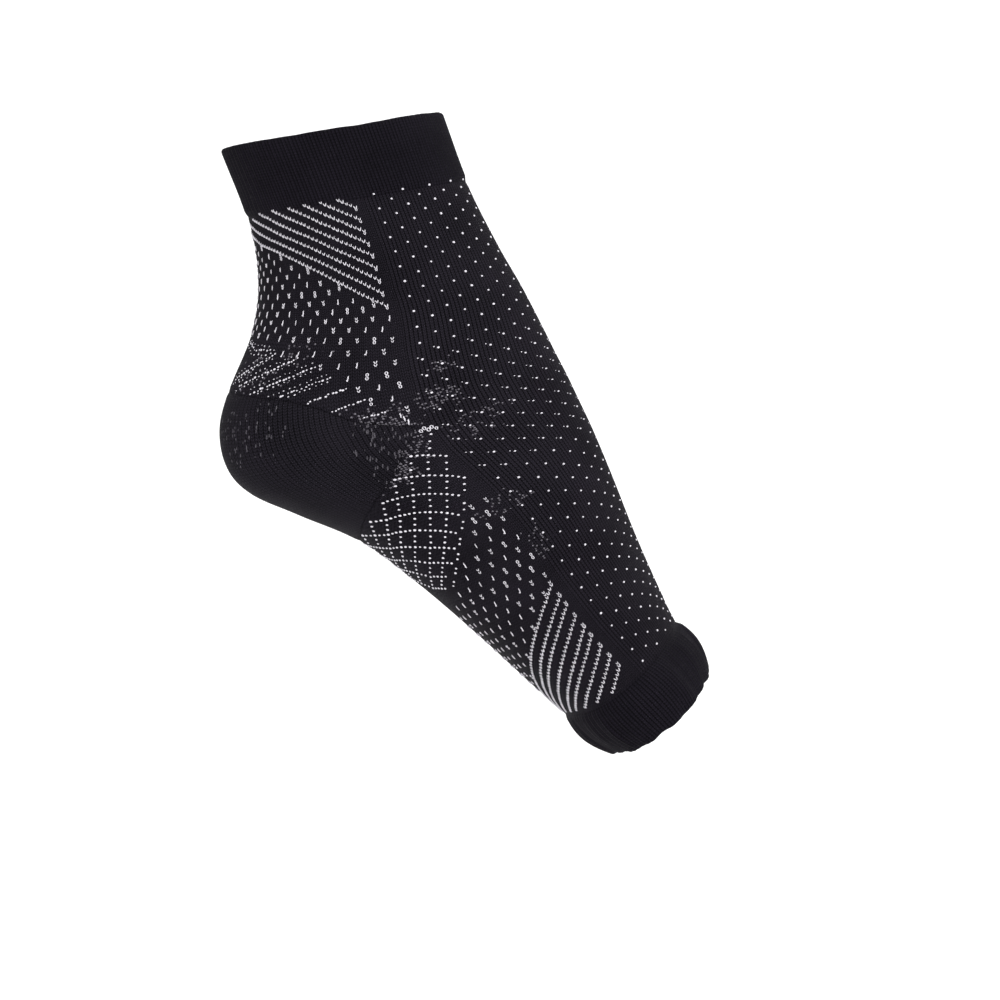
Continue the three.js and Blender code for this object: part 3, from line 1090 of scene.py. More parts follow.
@dataclass
class KnittedTube:
    """The patterned body and the plain heel pouch, cut from one grid of wales and lengths.

    Args:
        surface: the sleeve's outer face.
        knit: wales and courses.
        seam: the seam between the two.
        body_wall: thickness of the body.
        pouch_wall: thickness of the pouch.
        tuck: how far the tube runs on under the cuffs.
        columns_per_rib: mesh columns for each rib of two wales.
        rings: mesh rows down the tube.
        crease: depth of the seam's groove.
        crease_width: distance over which the groove fades.
        pouch_lift: how far the pouch stands above the body.
        pouch_courses: courses of the pouch for each of the body's.
        worn_spot: place in the side view where the pouch looks worn.
    """

    surface: SleeveSurface
    knit: KnitMap
    seam: HeelSeam
    body_wall: float = 1.3 * MM
    pouch_wall: float = 1.5 * MM
    tuck: float = 0.8 * MM
    columns_per_rib: int = 3
    rings: int = 205
    crease: float = 0.25 * MM
    crease_width: float = 0.9 * MM
    pouch_lift: float = 0.1 * MM
    pouch_courses: float = 1.5
    worn_spot: tuple[float, float] = (-27 * MM, -103 * MM)
    wale: np.ndarray = field(init=False)
    side: np.ndarray = field(init=False)
    course: np.ndarray = field(init=False)
    clearance: np.ndarray = field(init=False)

    def __post_init__(self) -> None:
        """Lays out the grid and moves its nearest points onto the seam."""
        columns = WALES // 2 * self.columns_per_rib
        wales = np.arange(columns) * WALES / columns
        top = self.surface.side_of(CUFF_FOOT) - self.tuck
        bottom = self.surface.side_of(BAND_ROOT) + self.tuck
        sides = np.linspace(top, bottom, self.rings + 1)
        self.side, self.wale = np.meshgrid(sides, wales, indexing="ij")
        self.course = self.knit.course(sides, np.minimum(wales, WALES - wales))
        self.clearance = self.seam.clearance(self.knit.point(self.wale, self.side, 0.0))
        self._snap()

    def _snap(self) -> None:
        """Slides the points next to the seam along their mesh lines until they lie on it."""
        clear = self.clearance.copy()
        best = np.full(clear.shape, np.inf)
        moves = np.zeros(clear.shape + (2,))
        wide = WALES / clear.shape[1]
        tall = self.side[1, 0] - self.side[0, 0]
        for axis, span in ((0, (0.0, tall)), (1, (wide, 0.0))):
            for step in (1, -1):
                beside = np.roll(clear, -step, axis=axis)
                crossing = (clear * beside < 0) & (np.abs(clear) <= np.abs(beside))
                if axis == 0:
                    crossing[-1 if step == 1 else 0] = False
                share = np.where(crossing, clear / np.where(crossing, clear - beside, 1), np.inf)
                nearer = crossing & (share < best)
                best[nearer] = share[nearer]
                moves[nearer] = share[nearer][:, None] * step * np.array(span)
        moved = np.isfinite(best)
        self.wale = self.wale + moves[..., 0]
        self.side = self.side + moves[..., 1]
        self.clearance[moved] = 0.0

    def _faces(self, keep: np.ndarray) -> list[tuple[int, ...]]:
        """Faces of the grid whose points are all kept, with triangles along the seam."""
        laps, facets = keep.shape
        faces = []
        for lap in range(laps - 1):
            for index in range(facets):
                beside = (index + 1) % facets
                corners = ((lap, index), (lap, beside), (lap + 1, beside), (lap + 1, index))
                kept = [row * facets + column for row, column in corners if keep[row, column]]
                if len(kept) == 4 and all(self.clearance[corner] == 0 for corner in corners):
                    continue
                if len(kept) >= 3:
                    faces.append(tuple(kept))
        return faces

    def _skins(self, lift: np.ndarray, wall: float) -> tuple[np.ndarray, np.ndarray]:
        """Points of the outer and the inner skin."""
        row = self.surface.row_of(self.side)
        turn = self.knit.turn(self.wale, self.side)
        groove = self.crease * np.exp(-((self.clearance / self.crease_width) ** 2))
        outer = self.surface.at(row, turn, lift - groove)
        inner = self.surface.at(row, turn, np.full(lift.shape, -wall))
        return outer.reshape(-1, 3), inner.reshape(-1, 3)

    def body(self) -> bpy.types.Object:
        """Makes the body, ribbed over the instep."""
        ends = np.minimum(self.side - self.side[0, 0], self.side[-1, 0] - self.side)
        shown = np.clip((ends - self.tuck) / (1.6 * MM), 0, 1)
        dive = 0.3 * MM * (1 - np.clip(ends / self.tuck, 0, 1))
        outer, inner = self._skins(rib_lift(self.wale) * shown - dive, self.body_wall)
        knit = np.stack([self.wale, self.course], -1).reshape(-1, 2)
        faces = self._faces(self.clearance >= 0)
        return Shell("knit_body").build(outer, inner, faces, knit, self._ghosts().ravel())

    def pouch(self) -> bpy.types.Object:
        """Makes the heel pouch, with finer courses than the body's."""
        outer, inner = self._skins(np.full(self.side.shape, self.pouch_lift), self.pouch_wall)
        knit = np.stack([self.wale, self.course * self.pouch_courses], -1).reshape(-1, 2)
        faces = self._faces(self.clearance <= 0)
        return Shell("heel_pocket").build(outer, inner, faces, knit, self._wisps().ravel())

    def _wisps(self) -> np.ndarray:
        """How likely white yarn shows through at each point of the pouch."""
        points = self.knit.point(self.wale, self.side, 0.0)[..., (0, 2)]
        marks = np.zeros(self.side.shape)
        for centre, spread, chance in ((self.seam.tip, 21 * MM, 0.6), (self.worn_spot, 13 * MM, 0.34)):
            away = np.linalg.norm(points - centre, axis=-1)
            marks = np.maximum(marks, chance * np.exp(-((away / spread) ** 4)))
        return marks

    def _ghosts(self) -> np.ndarray:
        """How likely white yarn shows through at each point of the body."""
        near = np.minimum(self.wale, WALES - self.wale)
        marks = np.zeros(self.side.shape)
        for patch in GHOST_PATCHES:
            wide = (near - patch.wale) / patch.wales
            tall = (self.side - patch.side) / patch.length
            marks = np.maximum(marks, patch.chance * np.exp(-(wide**4) - tall**4))
        return marks


class Stitch(Enum):
    """The shapes of a white stitch on the knit."""

    DOT = "dot"
    CHAIN = "chain"
    STROKE = "stroke"
    LOOP = "loop"


@dataclass
class YarnShape:
    """The mesh of one stitch, in shares of a wale, of a course and of the yarn's height.

    Args:
        points: its points.
        faces: its faces, as numbers of points.
    """

    points: list[tuple[float, float, float]] = field(default_factory=list)
    faces: list[tuple[int, ...]] = field(default_factory=list)

    SIDES = 5

    def strand(self, path: list[tuple[float, float]], closed: bool = False) -> "YarnShape":
        """Adds a length of yarn that lies on the knit.

        Args:
            path: its middle line, as places across and down.
            closed: whether its ends meet.

        Returns:
            This shape.
        """
        first = len(self.points)
        spots = np.array(path)
        ways = np.roll(spots, -1, axis=0) - np.roll(spots, 1, axis=0)
        if not closed:
            ways[0] = spots[1] - spots[0]
            ways[-1] = spots[-1] - spots[-2]
        for number, (spot, way) in enumerate(zip(spots, ways)):
            sideways = np.array([way[1], -way[0]]) / np.hypot(*way)
            end = not closed and number in (0, len(path) - 1)
            for corner in range(self.SIDES):
                angle = 2 * math.pi * corner / self.SIDES
                sway = 0.13 * math.cos(angle) * (0.5 if end else 1.0)
                rise = 0.25 if end else 0.5 + 0.5 * math.sin(angle)
                self.points.append((*(spot + sideways * sway), rise))
        rings = len(path)
        for ring in range(rings if closed else rings - 1):
            low = first + ring * self.SIDES
            high = first + (ring + 1) % rings * self.SIDES
            for corner in range(self.SIDES):
                beside = (corner + 1) % self.SIDES
                self.faces.append((low + corner, high + corner, high + beside, low + beside))
        return self

    def dome(self, radius: float) -> "YarnShape":
        """Adds the round top of a loop."""
        around = 8
        levels = ((1.0, -0.4), (1.0, 0.35), (0.72, 0.8), (0.3, 1.0))
        first = len(self.points)
        for share, rise in levels:
            for corner in range(around):
                angle = 2 * math.pi * corner / around
                spot = (share * radius * math.cos(angle), share * radius * 1.2 * math.sin(angle))
                self.points.append((*spot, rise))
        for level in range(len(levels) - 1):
            low = first + level * around
            for corner in range(around):
                beside = (corner + 1) % around
                self.faces.append((low + corner, low + around + corner, low + around + beside, low + beside))
        top = first + (len(levels) - 1) * around
        self.faces.append(tuple(range(top + around - 1, top - 1, -1)))
        return self


def yarn_shape(stitch: Stitch) -> YarnShape:
    """The mesh of a kind of stitch."""
    if stitch is Stitch.DOT:
        return YarnShape().dome(0.43)
    if stitch is Stitch.CHAIN:
        shape = YarnShape()
        for hand in (-1, 1):
            shape.strand([(hand * 0.1, 0.62), (hand * 0.16, 0.3), (hand * 0.3, -0.15), (hand * 0.38, -0.5)])
        return shape
    if stitch is Stitch.STROKE:
        return YarnShape().strand([(0.14, 1.0), (0.1, 0.5), (-0.02, -0.1), (0.0, -0.6), (-0.12, -1.0)])
    angles = [2 * math.pi * step / 9 for step in range(9)]
    return YarnShape().strand([(0.3 * math.cos(angle), 0.62 * math.sin(angle)) for angle in angles], True)


@dataclass
class Chart:
    """White stitches of the near flank, mirrored to the far flank when they are laid.

    Args:
        knit: wales and courses.
        rows: kind, wale, length down the side line and size of each stitch.
    """

    knit: KnitMap
    rows: list[tuple[Stitch, float, float, float]] = field(default_factory=list)

    def stitch(self, wale: float, course: float, kind: Stitch = Stitch.CHAIN, size: float = 1.0) -> None:
        """Adds a stitch at a wale and a course."""
        self.rows.append((kind, wale, float(self.knit.side(course, wale)), size))

    def stitch_at(self, wale: float, side: float, kind: Stitch = Stitch.DOT, size: float = 1.0) -> None:
        """Adds a stitch at a wale and a length down the side line."""
        self.rows.append((kind, wale, side, size))

    def line_at(
        self, places: Sequence[tuple[float, float]], pitch: float, size: float, rng: np.random.Generator
    ) -> None:
        """Adds uneven dots along a line of wales and places down the side line."""
        spots = np.array(places)
        points = self.knit.point(spots[:, 0], spots[:, 1], 0.0)
        lengths = np.concatenate([[0], np.cumsum(np.linalg.norm(np.diff(points, axis=0), axis=1))])
        steps = np.linspace(0, lengths[-1], max(2, round(lengths[-1] / pitch) + 1))
        for wale, side in zip(np.interp(steps, lengths, spots[:, 0]), np.interp(steps, lengths, spots[:, 1])):
            off = rng.uniform(-0.22, 0.22, 2) * (1, MM)
            self.stitch_at(wale + off[0], side + off[1], Stitch.DOT, size * rng.uniform(0.75, 1.3))

    def dash(self, wale: float, course: float, rng: np.random.Generator) -> None:
        """Adds a dash of two or three courses, fuller near the panel than at the back."""
        away = (wale - PANEL_EDGE) / (HALF_WALES - PANEL_EDGE)
        draw = rng.uniform() + 0.75 * away
        if draw < 0.4:
            self.stitch(wale, course - 0.62, Stitch.LOOP, 0.88)
            self.stitch(wale, course + 0.62, Stitch.LOOP, 0.84)
        elif draw < 0.75:
            self.stitch(wale, course - 0.65, Stitch.CHAIN, 0.88)
            self.stitch(wale, course + 0.4, Stitch.CHAIN, 0.78)
        elif draw < 1.1:
            self.stitch(wale - 0.1, course, Stitch.STROKE, 1.0)
            self.stitch(wale + 0.15, course + 0.6, Stitch.DOT, 0.5)
        else:
            self.stitch(wale, course, Stitch.STROKE, 0.92)


@dataclass
class Stitcher:
    """Lays the stitches of a chart on the knit.

    Args:
        knit: wales and courses.
        seam: the seam of the heel pouch, on which no stitch lies.
        height: height of the yarn.
        sink: depth of its foot below the surface.
        course_step: length of a course at size 1.
        seam_margin: distance kept from the seam.
        cuff_overlap: how far stitches run onto the root of the ankle cuff.
        band_margin: distance kept from the toe band.
    """

    knit: KnitMap
    seam: HeelSeam
    height: float = 0.46 * MM
    sink: float = 0.1 * MM
    course_step: float = 0.95 * MM
    seam_margin: float = 0.9 * MM
    cuff_overlap: float = 1.2 * MM
    band_margin: float = 0.5 * MM

    def lay(self, name: str, chart: Chart) -> bpy.types.Object:
        """Makes one piece from a chart.

        Args:
            name: the name of the piece.
            chart: its stitches on the near flank.

        Returns:
            The new object.
        """
        rng = np.random.default_rng(len(chart.rows))
        points: list[np.ndarray] = []
        faces: list[tuple[int, ...]] = []
        knit: list[np.ndarray] = []
        count = 0
        for kind in Stitch:
            rows = np.array([row[1:] for row in chart.rows if row[0] is kind]).reshape(-1, 3)
            rows = np.concatenate([rows, rows * (-1, 1, 1) + (WALES, 0, 0)])
            rows = rows[self._clear(rows)]
            if not len(rows):
                continue
            shape = yarn_shape(kind)
            spots = self._spots(rows, np.array(shape.points), rng)
            points.append(spots.reshape(-1, 3))
            knit.append(np.repeat(rows[:, :2], len(shape.points), axis=0))
            for _ in rows:
                faces += [tuple(corner + count for corner in face) for face in shape.faces]
                count += len(shape.points)
        return mesh_object(name, np.concatenate(points), faces, np.concatenate(knit))

    def _clear(self, rows: np.ndarray) -> np.ndarray:
        """Which stitches lie clear of the seam and of the cuffs."""
        surface = self.knit.surface
        clear = self.seam.clearance(self.knit.point(rows[:, 0], rows[:, 1], 0.0)) > self.seam_margin
        below = rows[:, 1] > surface.side_of(CUFF_FOOT) - self.cuff_overlap
        return clear & below & (rows[:, 1] < surface.side_of(BAND_ROOT) - self.band_margin)

    def _spots(self, rows: np.ndarray, shape: np.ndarray, rng: np.random.Generator) -> np.ndarray:
        """Points of one kind of stitch, laid at all its places."""
        wale = rows[:, 0] + rng.uniform(-0.07, 0.07, len(rows))
        side = rows[:, 1] + rng.uniform(-0.07, 0.07, len(rows)) * MM
        grow = (rows[:, 2] * rng.uniform(0.88, 1.12, len(rows)))[:, None]
        lift = rib_lift(wale) - self.sink
        centre = self.knit.point(wale, side, lift)
        normal = (self.knit.point(wale, side, lift + MM) - centre) / MM
        across = (self.knit.point(wale + 0.5, side, lift) - self.knit.point(wale - 0.5, side, lift)) * grow
        nudge = self.course_step / 2
        down = (self.knit.point(wale, side + nudge, lift) - self.knit.point(wale, side - nudge, lift)) * grow
        rise = normal * self.height * np.sqrt(grow)
        return (
            centre[:, None]
            + across[:, None] * shape[None, :, :1]
            + down[:, None] * shape[None, :, 1:2]
            + rise[:, None] * shape[None, :, 2:]
        )


@dataclass
class InstepDots:
    """Single white stitches in staggered columns over the instep, some with a faint one beside them.

    Args:
        first_wale: wale of the column next to the front line.
        wale_step: wales from one column to the next.
        columns: columns on the near flank.
        course_step: courses from one stitch to the next.
        last_course: course above which all of them lie.
        size: size of a stitch.
        paired: courses between which each has a faint one beside it.
        faint_size: size of the faint one.
    """

    first_wale: int = 2
    wale_step: int = 4
    columns: int = 10
    course_step: int = 6
    last_course: int = 206
    size: float = 0.74
    paired: tuple[int, int] = (62, 112)
    faint_size: float = 0.42

    def chart(self, knit: KnitMap) -> Chart:
        """Charts the dots."""
        chart = Chart(knit)
        for column in range(self.columns):
            wale = self.first_wale + self.wale_step * column
            drop = 0 if column % 2 else self.course_step // 2
            for course in range(drop, self.last_course, self.course_step):
                chart.stitch(wale, course, Stitch.DOT, self.size)
                if self.paired[0] < course < self.paired[1]:
                    chart.stitch(wale + 0.95, course - 0.75, Stitch.DOT, self.faint_size)
        return chart


@dataclass
class TendonLines:
    """Slanted dotted lines above the heel pouch, from the back to the instep side.

    Args:
        count: number of lines.
        back_wales: where the first and the last line start, in wales.
        front_wales: where they end.
        back_sides: where they start, down the side line.
        front_sides: where they end.
        spread: how much faster the lines drop towards the pouch's tip.
        arc: places that the line above them joins, as wale and length down the side line.
    """

    count: int = 7
    back_wales: tuple[float, float] = (83, 52)
    front_wales: tuple[float, float] = (72, 48)
    back_sides: tuple[float, float] = (77.5 * MM, 98.5 * MM)
    front_sides: tuple[float, float] = (72 * MM, 98.5 * MM)
    spread: float = 1.25
    arc: tuple[tuple[float, float], ...] = ((84, 66.5 * MM), (79, 69.5 * MM), (74, 70.5 * MM))

    def lines(self) -> list[tuple[tuple[float, float], ...]]:
        """Returns the places that each line joins."""
        lines = [self.arc]
        for line in range(self.count):
            share = line / (self.count - 1)
            drop = share**self.spread
            back = (self._between(self.back_wales, drop), self._between(self.back_sides, drop))
            wale = self._between(self.front_wales, share ** (2 - self.spread))
            lines.append((back, (wale, self._between(self.front_sides, drop))))
        return lines

    @staticmethod
    def _between(ends: tuple[float, float], share: float) -> float:
        """Returns the place at a share of the way from the first end to the last."""
        return ends[0] + (ends[1] - ends[0]) * share


# Wales, and millimetres above which the leg's dashes stop there
DASH_LIMITS = ((43, 104), (46, 103), (48, 99), (50, 95), (54, 91), (57, 85), (62, 79), (73, 70), (88, 67))


@dataclass
class LegPattern:
    """Slanted lines below the ankle cuff, dashes under them, and dotted lines above the heel.

    Args:
        lines: number of slanted lines.
        first_course: where the first line meets the panel's edge.
        line_step: courses from one line to the next.
        top_course: course above which no stitch of a line lies.
        small: size of the stitches that end a line or hang from the last one.
        spur_wale: first wale with a spur under the last line.
        spur_step: wales from one spur to the next.
        spur_hangs: courses by which a spur's stitches hang below the line.
        dash_wale_step: wales from one column of dashes to the next.
        dash_course_step: courses from one dash to the next.
        dash_start: middle of a dash at the panel's edge.
        dash_gap: courses kept clear below the last line.
        last_course: course above which all dashes lie.
        dot_pitch: length from one dot to the next on a dotted line.
        dot_size: size of such a dot.
        faint_pitch: the same length on the faint rows beside the line.
        faint_rows: how far down a faint row lies, and the size of its dots.
        faint_limit: wale behind which a line has to end for faint rows to follow it.
        seed: seed of the dashes and the dots.
    """

    lines: int = 9
    first_course: int = 4
    line_step: int = 5
    top_course: float = -3.0
    small: float = 0.8
    spur_wale: int = 47
    spur_step: int = 8
    spur_hangs: tuple[float, ...] = (1.1, 2.1, 3.0)
    dash_wale_step: int = 2
    dash_course_step: int = 8
    dash_start: int = 49
    dash_gap: int = 3
    last_course: int = 90
    dot_pitch: float = 1.3 * MM
    dot_size: float = 0.52
    faint_pitch: float = 2.0 * MM
    faint_rows: tuple[tuple[float, float], ...] = ((-1.3 * MM, 0.32), (1.2 * MM, 0.36))
    faint_limit: int = 56
    seed: int = 21

    def chart(self, knit: KnitMap) -> Chart:
        """Charts the whole pattern."""
        chart = Chart(knit)
        rng = np.random.default_rng(self.seed)
        for line in range(self.lines):
            start = self.first_course + self.line_step * line
            for step in range(HALF_WALES - PANEL_EDGE + 1):
                if start - step > self.top_course:
                    chart.stitch(PANEL_EDGE + step, start - step)
            chart.stitch(PANEL_EDGE, start + 1, Stitch.CHAIN, self.small)
        last = self.first_course + self.line_step * (self.lines - 1) + PANEL_EDGE
        for wale in range(self.spur_wale, HALF_WALES, self.spur_step):
            for hang in self.spur_hangs:
                chart.stitch(wale, last - wale + hang, Stitch.CHAIN, self.small)
        self._dashes(chart, last, rng)
        self._tendon(chart, rng)
        return chart

    def _dashes(self, chart: Chart, last: int, rng: np.random.Generator) -> None:
        """Charts the dashes below the last line."""
        limits = np.array(DASH_LIMITS)
        for column in range(0, (HALF_WALES - PANEL_EDGE) // self.dash_wale_step + 1):
            wale = PANEL_EDGE + self.dash_wale_step * column
            start = self.dash_start - (column % 2) * self.dash_course_step // 2
            lowest = np.interp(wale, limits[:, 0], limits[:, 1]) * MM
            for middle in range(start - 10 * self.dash_course_step, self.last_course, self.dash_course_step):
                if middle > last - wale + self.dash_gap and chart.knit.side(middle, wale) < lowest:
                    chart.dash(wale, middle, rng)

    def _tendon(self, chart: Chart, rng: np.random.Generator) -> None:
        """Charts the dotted lines, with fainter rows between them that thin out towards the ankle."""
        for line in TendonLines().lines():
            chart.line_at(line, self.dot_pitch, self.dot_size, rng)
            if line[-1][0] > self.faint_limit:
                for drop, size in self.faint_rows:
                    beside = [(wale + 0.6, side + drop) for wale, side in line]
                    chart.line_at(beside, self.faint_pitch, size, rng)


@dataclass(frozen=True)
class KnitStep:
    """A place on the knit or a way over it, in wales round it and courses down it."""

    wales: float
    courses: float


@dataclass
class ArchLattice:
    """Two crossing sets of dotted lines under the arch, stepped along the heel pouch's seam.

    Args:
        rows: crossing rows, counted from the ankle bone to the ball.
        peak_column: the column that reaches highest.
        last_column: how far the rows reach towards the instep.
        sub_steps: stitches from one crossing to the next.
        size: size of a stitch.
        start: place of the first crossing.
        row_step: the way from one row to the next.
        row_bend: how that way grows.
        column_step: the way from one column to the next.
        column_bend: how that way grows.
        fan: wales by which the columns close up with each row below fan_row.
        droop: courses by which the rows flatten with each row below droop_row.
    """

    rows: int = 9
    peak_column: int = 1
    last_column: float = 2.75
    sub_steps: int = 3
    size: float = 0.74
    start: KnitStep = KnitStep(48.6, 95.5)
    row_step: KnitStep = KnitStep(3.4, 6.25)
    row_bend: KnitStep = KnitStep(0.06, -0.155)
    column_step: KnitStep = KnitStep(-3.05, 1.5)
    column_bend: KnitStep = KnitStep(0.1, 0.33)
    fan: float = 0.23
    fan_row: int = 4
    droop: float = 0.25
    droop_row: int = 3

    def place(self, column: float, row: float) -> tuple[float, float]:
        """Wale and course of a place of the lattice."""
        near = max(column, -2.0)
        wale = self.start.wales + self.row_step.wales * row + self.row_bend.wales * row**2
        wale += self.column_step.wales * column + self.column_bend.wales * column**2
        wale -= self.fan * max(0.0, row - self.fan_row) * near
        course = self.start.courses + self.row_step.courses * row + self.row_bend.courses * row**2
        course += self.column_step.courses * column + self.column_bend.courses * near**2
        course -= self.droop * max(0.0, row - self.droop_row) * abs(near - self.peak_column)
        return wale, course

    def chart(self, knit: KnitMap) -> Chart:
        """Charts the lattice."""
        chart = Chart(knit)
        share = 1 / self.sub_steps
        for row in range(self.rows):
            end = (2.0, 3.0)[row] if row < 2 else self.last_column - 0.12 * max(0, row - 4)
            for step in range(-row * self.sub_steps, round(end * self.sub_steps) + 1):
                self._stitch(chart, step * share, row, 1.0 if step % self.sub_steps else 1.12)
        for column in range(1 - self.rows, 4):
            first = max(-column, {self.peak_column: -1, 3: 1}.get(column, 0))
            last = self.rows - 1
            for step in range(first * self.sub_steps, last * self.sub_steps + 1):
                if step % self.sub_steps or first * self.sub_steps == step:
                    self._stitch(chart, column, step * share, 1.0)
        return chart

    def _stitch(self, chart: Chart, column: float, row: float, share: float) -> None:
        """Adds one stitch, unless it lies beyond the middle of the sole."""
        wale, course = self.place(column, row)
        if wale <= HALF_WALES + 0.3:
            side = float(np.interp(course, chart.knit.courses, chart.knit.sides))
            chart.stitch_at(wale, side, Stitch.DOT, self.size * share)


@dataclass
class FootPattern:
    """Dashes and slanted lines between the arch and the toe band, and the knot at the pouch's tip.

    Args:
        lines: number of slanted lines.
        first_course: where the first line meets the panel's edge.
        line_step: courses from one line to the next.
        last_course: course above which all the stitches lie.
        small: size of the stitches that end a line or rise from the first one.
        spur_wale: first wale with a spur over the first line.
        spur_step: wales from one spur to the next.
        spur_rises: courses by which a spur's stitches rise above the line.
        dash_wale_step: wales from one column of dashes to the next.
        dash_course_step: courses from one dash to the next.
        dash_start: middle of a dash at the panel's edge.
        dash_top: course below which all the dashes lie.
        dash_gap: courses kept clear above the first line.
        border_column: place beside the lattice at which the dashes begin, in its columns.
        knot_wale: wale of the knot's first loop.
        knot_side: how far down the side line the knot lies.
        knot_loops: loops of the knot, from there to the instep.
        knot_strokes: strokes that rise from it.
        seed: seed of the dashes.
    """

    lines: int = 9
    first_course: int = 155
    line_step: float = 4.7
    last_course: int = 200
    small: float = 0.8
    spur_wale: int = 47
    spur_step: int = 8
    spur_rises: tuple[float, ...] = (1.1, 2.1)
    dash_wale_step: int = 2
    dash_course_step: int = 8
    dash_start: int = 119
    dash_top: int = 102
    dash_gap: int = 3
    border_column: float = 3.35
    knot_wale: float = 44.5
    knot_side: float = 108.4 * MM
    knot_loops: int = 6
    knot_strokes: int = 4
    seed: int = 33

    def chart(self, knit: KnitMap, lattice: ArchLattice) -> Chart:
        """Charts the whole pattern."""
        chart = Chart(knit)
        rng = np.random.default_rng(self.seed)
        for line in range(self.lines):
            start = round(self.first_course + self.line_step * line)
            for step in range(HALF_WALES - PANEL_EDGE + 1):
                if start + step < self.last_course:
                    chart.stitch(PANEL_EDGE + step, start + step)
            chart.stitch(PANEL_EDGE, start - 1, Stitch.CHAIN, self.small)
        for wale in range(self.spur_wale, HALF_WALES, self.spur_step):
            for rise in self.spur_rises:
                chart.stitch(wale, self.first_course + wale - PANEL_EDGE - rise, Stitch.CHAIN, self.small)
        self._dashes(chart, lattice, rng)
        self._knot(chart)
        chart.rows += lattice.chart(knit).rows
        return chart

    def _dashes(self, chart: Chart, lattice: ArchLattice, rng: np.random.Generator) -> None:
        """Charts the dashes between the lattice and the first line."""
        border = np.array([lattice.place(self.border_column, row) for row in range(-1, lattice.rows + 8)])
        for column in range(0, (HALF_WALES - PANEL_EDGE) // self.dash_wale_step + 1):
            wale = PANEL_EDGE + self.dash_wale_step * column
            start = self.dash_start + (column % 2) * self.dash_course_step // 2 - 3 * self.dash_course_step
            highest = max(self.dash_top, np.interp(wale, border[:, 0], border[:, 1]))
            for middle in range(start, self.last_course, self.dash_course_step):
                if highest < middle < self.first_course + wale - PANEL_EDGE - self.dash_gap:
                    chart.dash(wale, middle, rng)

    def _knot(self, chart: Chart) -> None:
        """Charts the thick white knot where pouch, leg and arch meet."""
        for step in range(self.knot_loops):
            side = self.knot_side + (0.25 * step - 0.4 * (-1) ** step) * MM
            chart.stitch_at(self.knot_wale - 0.8 * step, side, Stitch.LOOP, 1.08)
        for step in range(self.knot_strokes):
            side = self.knot_side - (2.6 + 1.5 * step) * MM
            chart.stitch_at(self.knot_wale + 0.3 * (step + 1), side, Stitch.STROKE, 1.05)


@dataclass(frozen=True)
class SoftLight:
    """A large square light that faces the sleeve.

    Args:
        name: the light's name.
        offset: its place from the sleeve's middle.
        size: length of its sides.
        power: its power in watts.
    """

    name: str
    offset: tuple[float, float, float]
    size: float
    power: float

    def build(self, centre: Vector) -> None:
        """Makes the light and turns it towards a point."""
        data = bpy.data.lights.new(self.name, "AREA")
        data.shape = "SQUARE"
        data.size = self.size
        data.energy = self.power
        light = bpy.data.objects.new(self.name, data)
        light.location = centre + Vector(self.offset)
        light.rotation_euler = (centre - light.location).to_track_quat("-Z", "Y").to_euler()
        bpy.context.scene.collection.objects.link(light)


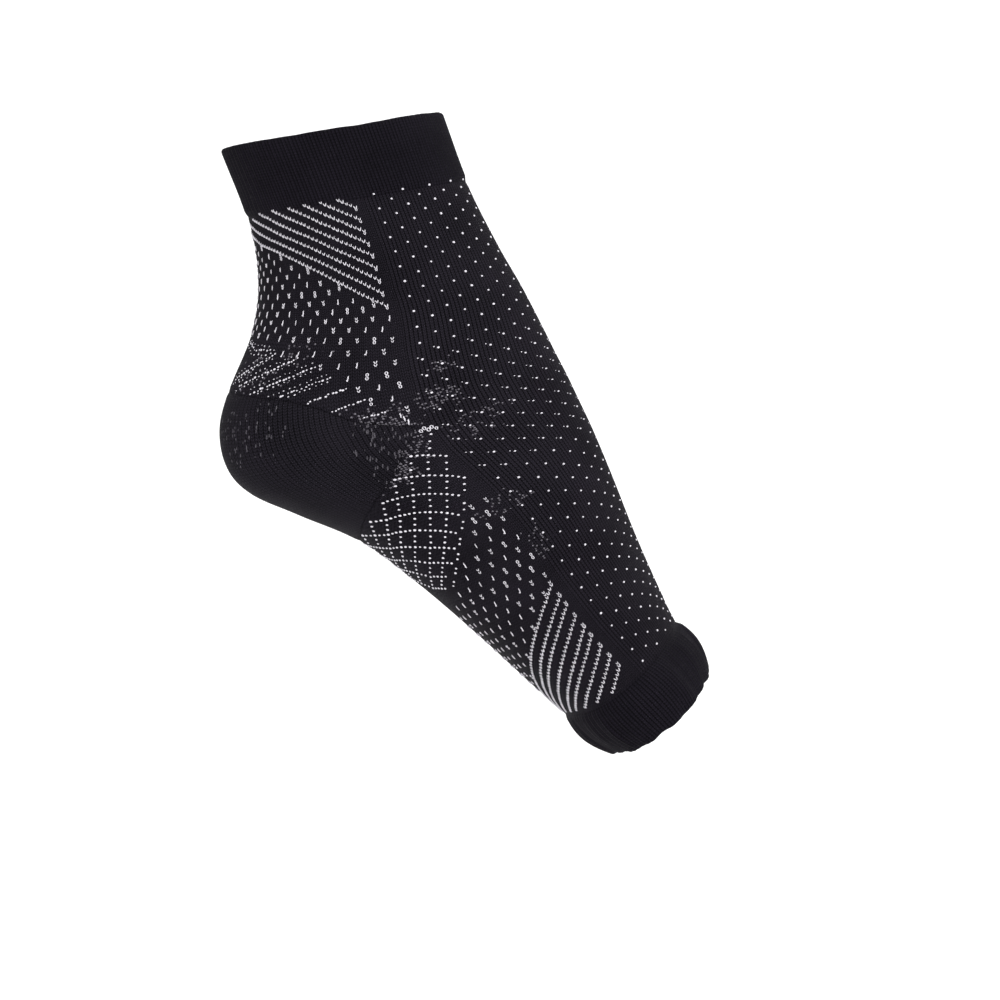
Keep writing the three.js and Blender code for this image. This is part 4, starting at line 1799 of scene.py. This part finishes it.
@dataclass
class Studio:
    """White paper, soft lights, and a camera square to the near flank.

    Args:
        distance: how far the camera stands from the middle plane.
        frame_width: width of the picture at the middle plane.
        aim_x: what the picture's centre looks at, along the foot.
        aim_z: what the picture's centre looks at, in height.
        floor: height of the paper below the sleeve.
        paper_half: half the paper's width.
        paper_front: where the paper ends, in front of the camera's side.
        paper_rear: where it starts to curve up.
        paper_bend: radius of that curve.
        paper_rise: height of the paper's upper end above its floor.
        bend_steps: mesh rows of the curve.
        surround: strength of the even white surround.
        lights: the soft lights.
    """

    distance: float = 1.8
    frame_width: float = 342 * MM
    aim_x: float = 57.6 * MM
    aim_z: float = -126.0 * MM
    floor: float = -300 * MM
    paper_half: float = 3.0
    paper_front: float = -3.5
    paper_rear: float = 1.6
    paper_bend: float = 0.5
    paper_rise: float = 3.5
    bend_steps: int = 12
    surround: float = 0.9
    lights: tuple[SoftLight, ...] = (
        SoftLight("key", (0.9, -1.3, 1.0), 1.4, 34.0),
        SoftLight("fill", (-1.4, -1.1, 0.3), 1.6, 14.0),
        SoftLight("top", (0.2, 0.5, 1.6), 1.6, 22.0),
    )

    def build(self) -> None:
        """Makes the camera, the lights and the backdrop."""
        bpy.context.scene.view_settings.view_transform = "Standard"
        self._camera()
        self._backdrop()
        self._lights()

    def _camera(self) -> None:
        """Makes the camera."""
        data = bpy.data.cameras.new("camera")
        data.sensor_width = 36.0
        data.lens = data.sensor_width * self.distance / self.frame_width
        data.clip_start = 0.05
        data.clip_end = 50.0
        camera = bpy.data.objects.new("camera", data)
        camera.location = (self.aim_x, -self.distance, self.aim_z)
        camera.rotation_euler = (math.pi / 2, 0, 0)
        bpy.context.scene.collection.objects.link(camera)
        bpy.context.scene.camera = camera

    def _backdrop(self) -> None:
        """Makes a floor of paper that curves up behind the sleeve."""
        bend = self.paper_bend
        profile = [(self.paper_front, self.floor)]
        for step in range(self.bend_steps + 1):
            angle = math.pi / 2 * step / self.bend_steps
            height = self.floor + bend * (1 - math.cos(angle))
            profile.append((self.paper_rear + bend * math.sin(angle), height))
        profile.append((self.paper_rear + bend, self.floor + self.paper_rise))
        points = np.array([(x, y, z) for y, z in profile for x in (-self.paper_half, self.paper_half)])
        faces = [(2 * step, 2 * step + 1, 2 * step + 3, 2 * step + 2) for step in range(len(profile) - 1)]
        paper = mesh_object("backdrop", points, faces, points[:, :2])
        paper.data.materials.append(PaperFinish().material())

    def _lights(self) -> None:
        """Makes the soft lights and the surround."""
        centre = Vector((self.aim_x, 0, self.aim_z))
        for light in self.lights:
            light.build(centre)
        world = bpy.data.worlds.new("surround")
        world.use_nodes = True
        surround = world.node_tree.nodes["Background"]
        surround.inputs["Color"].default_value = (1, 1, 1, 1)
        surround.inputs["Strength"].default_value = self.surround
        bpy.context.scene.world = world


def main() -> None:
    """Builds the sleeve piece by piece."""
    logging.basicConfig(level=logging.INFO, format="%(message)s")
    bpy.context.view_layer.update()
    surface = SleeveSurface()
    knit = KnitMap(surface)
    seam = HeelSeam(surface)
    materials = {finish: finish.value.material() for finish in Finish}

    cuffs = (
        RibbedCuff("ankle_welt", CUFF_FOOT, ANKLE_RIM),
        RibbedCuff(
            "toe_welt", BAND_ROOT, TOE_RIM, puff=2 * MM, rim_wander=0.35 * MM, gather_height=0.6 * MM,
            rings=24, courses=21, seed=8
        ),
    )
    for cuff, node in zip(cuffs, ("ankle_cuff", "toe_band")):
        piece = cuff.build(surface)
        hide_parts(node)
        dress(piece, materials[Finish.RIB_KNIT])

    tube = KnittedTube(surface, knit, seam)
    body = tube.body()
    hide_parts("sleeve_body")
    dress(body, materials[Finish.JACQUARD_KNIT])
    pouch = tube.pouch()
    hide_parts("heel_pouch")
    dress(pouch, materials[Finish.PLAIN_KNIT])

    stitcher = Stitcher(knit, seam)
    charts = {
        "white_instep_dots": InstepDots().chart(knit),
        "white_leg_stitches": LegPattern().chart(knit),
        "white_foot_stitches": FootPattern().chart(knit, ArchLattice()),
    }
    for name, chart in charts.items():
        stitches = stitcher.lay(name, chart)
        dress(stitches, materials[Finish.WHITE_YARN])

    Studio().build()


if __name__ == "__main__":
    main()
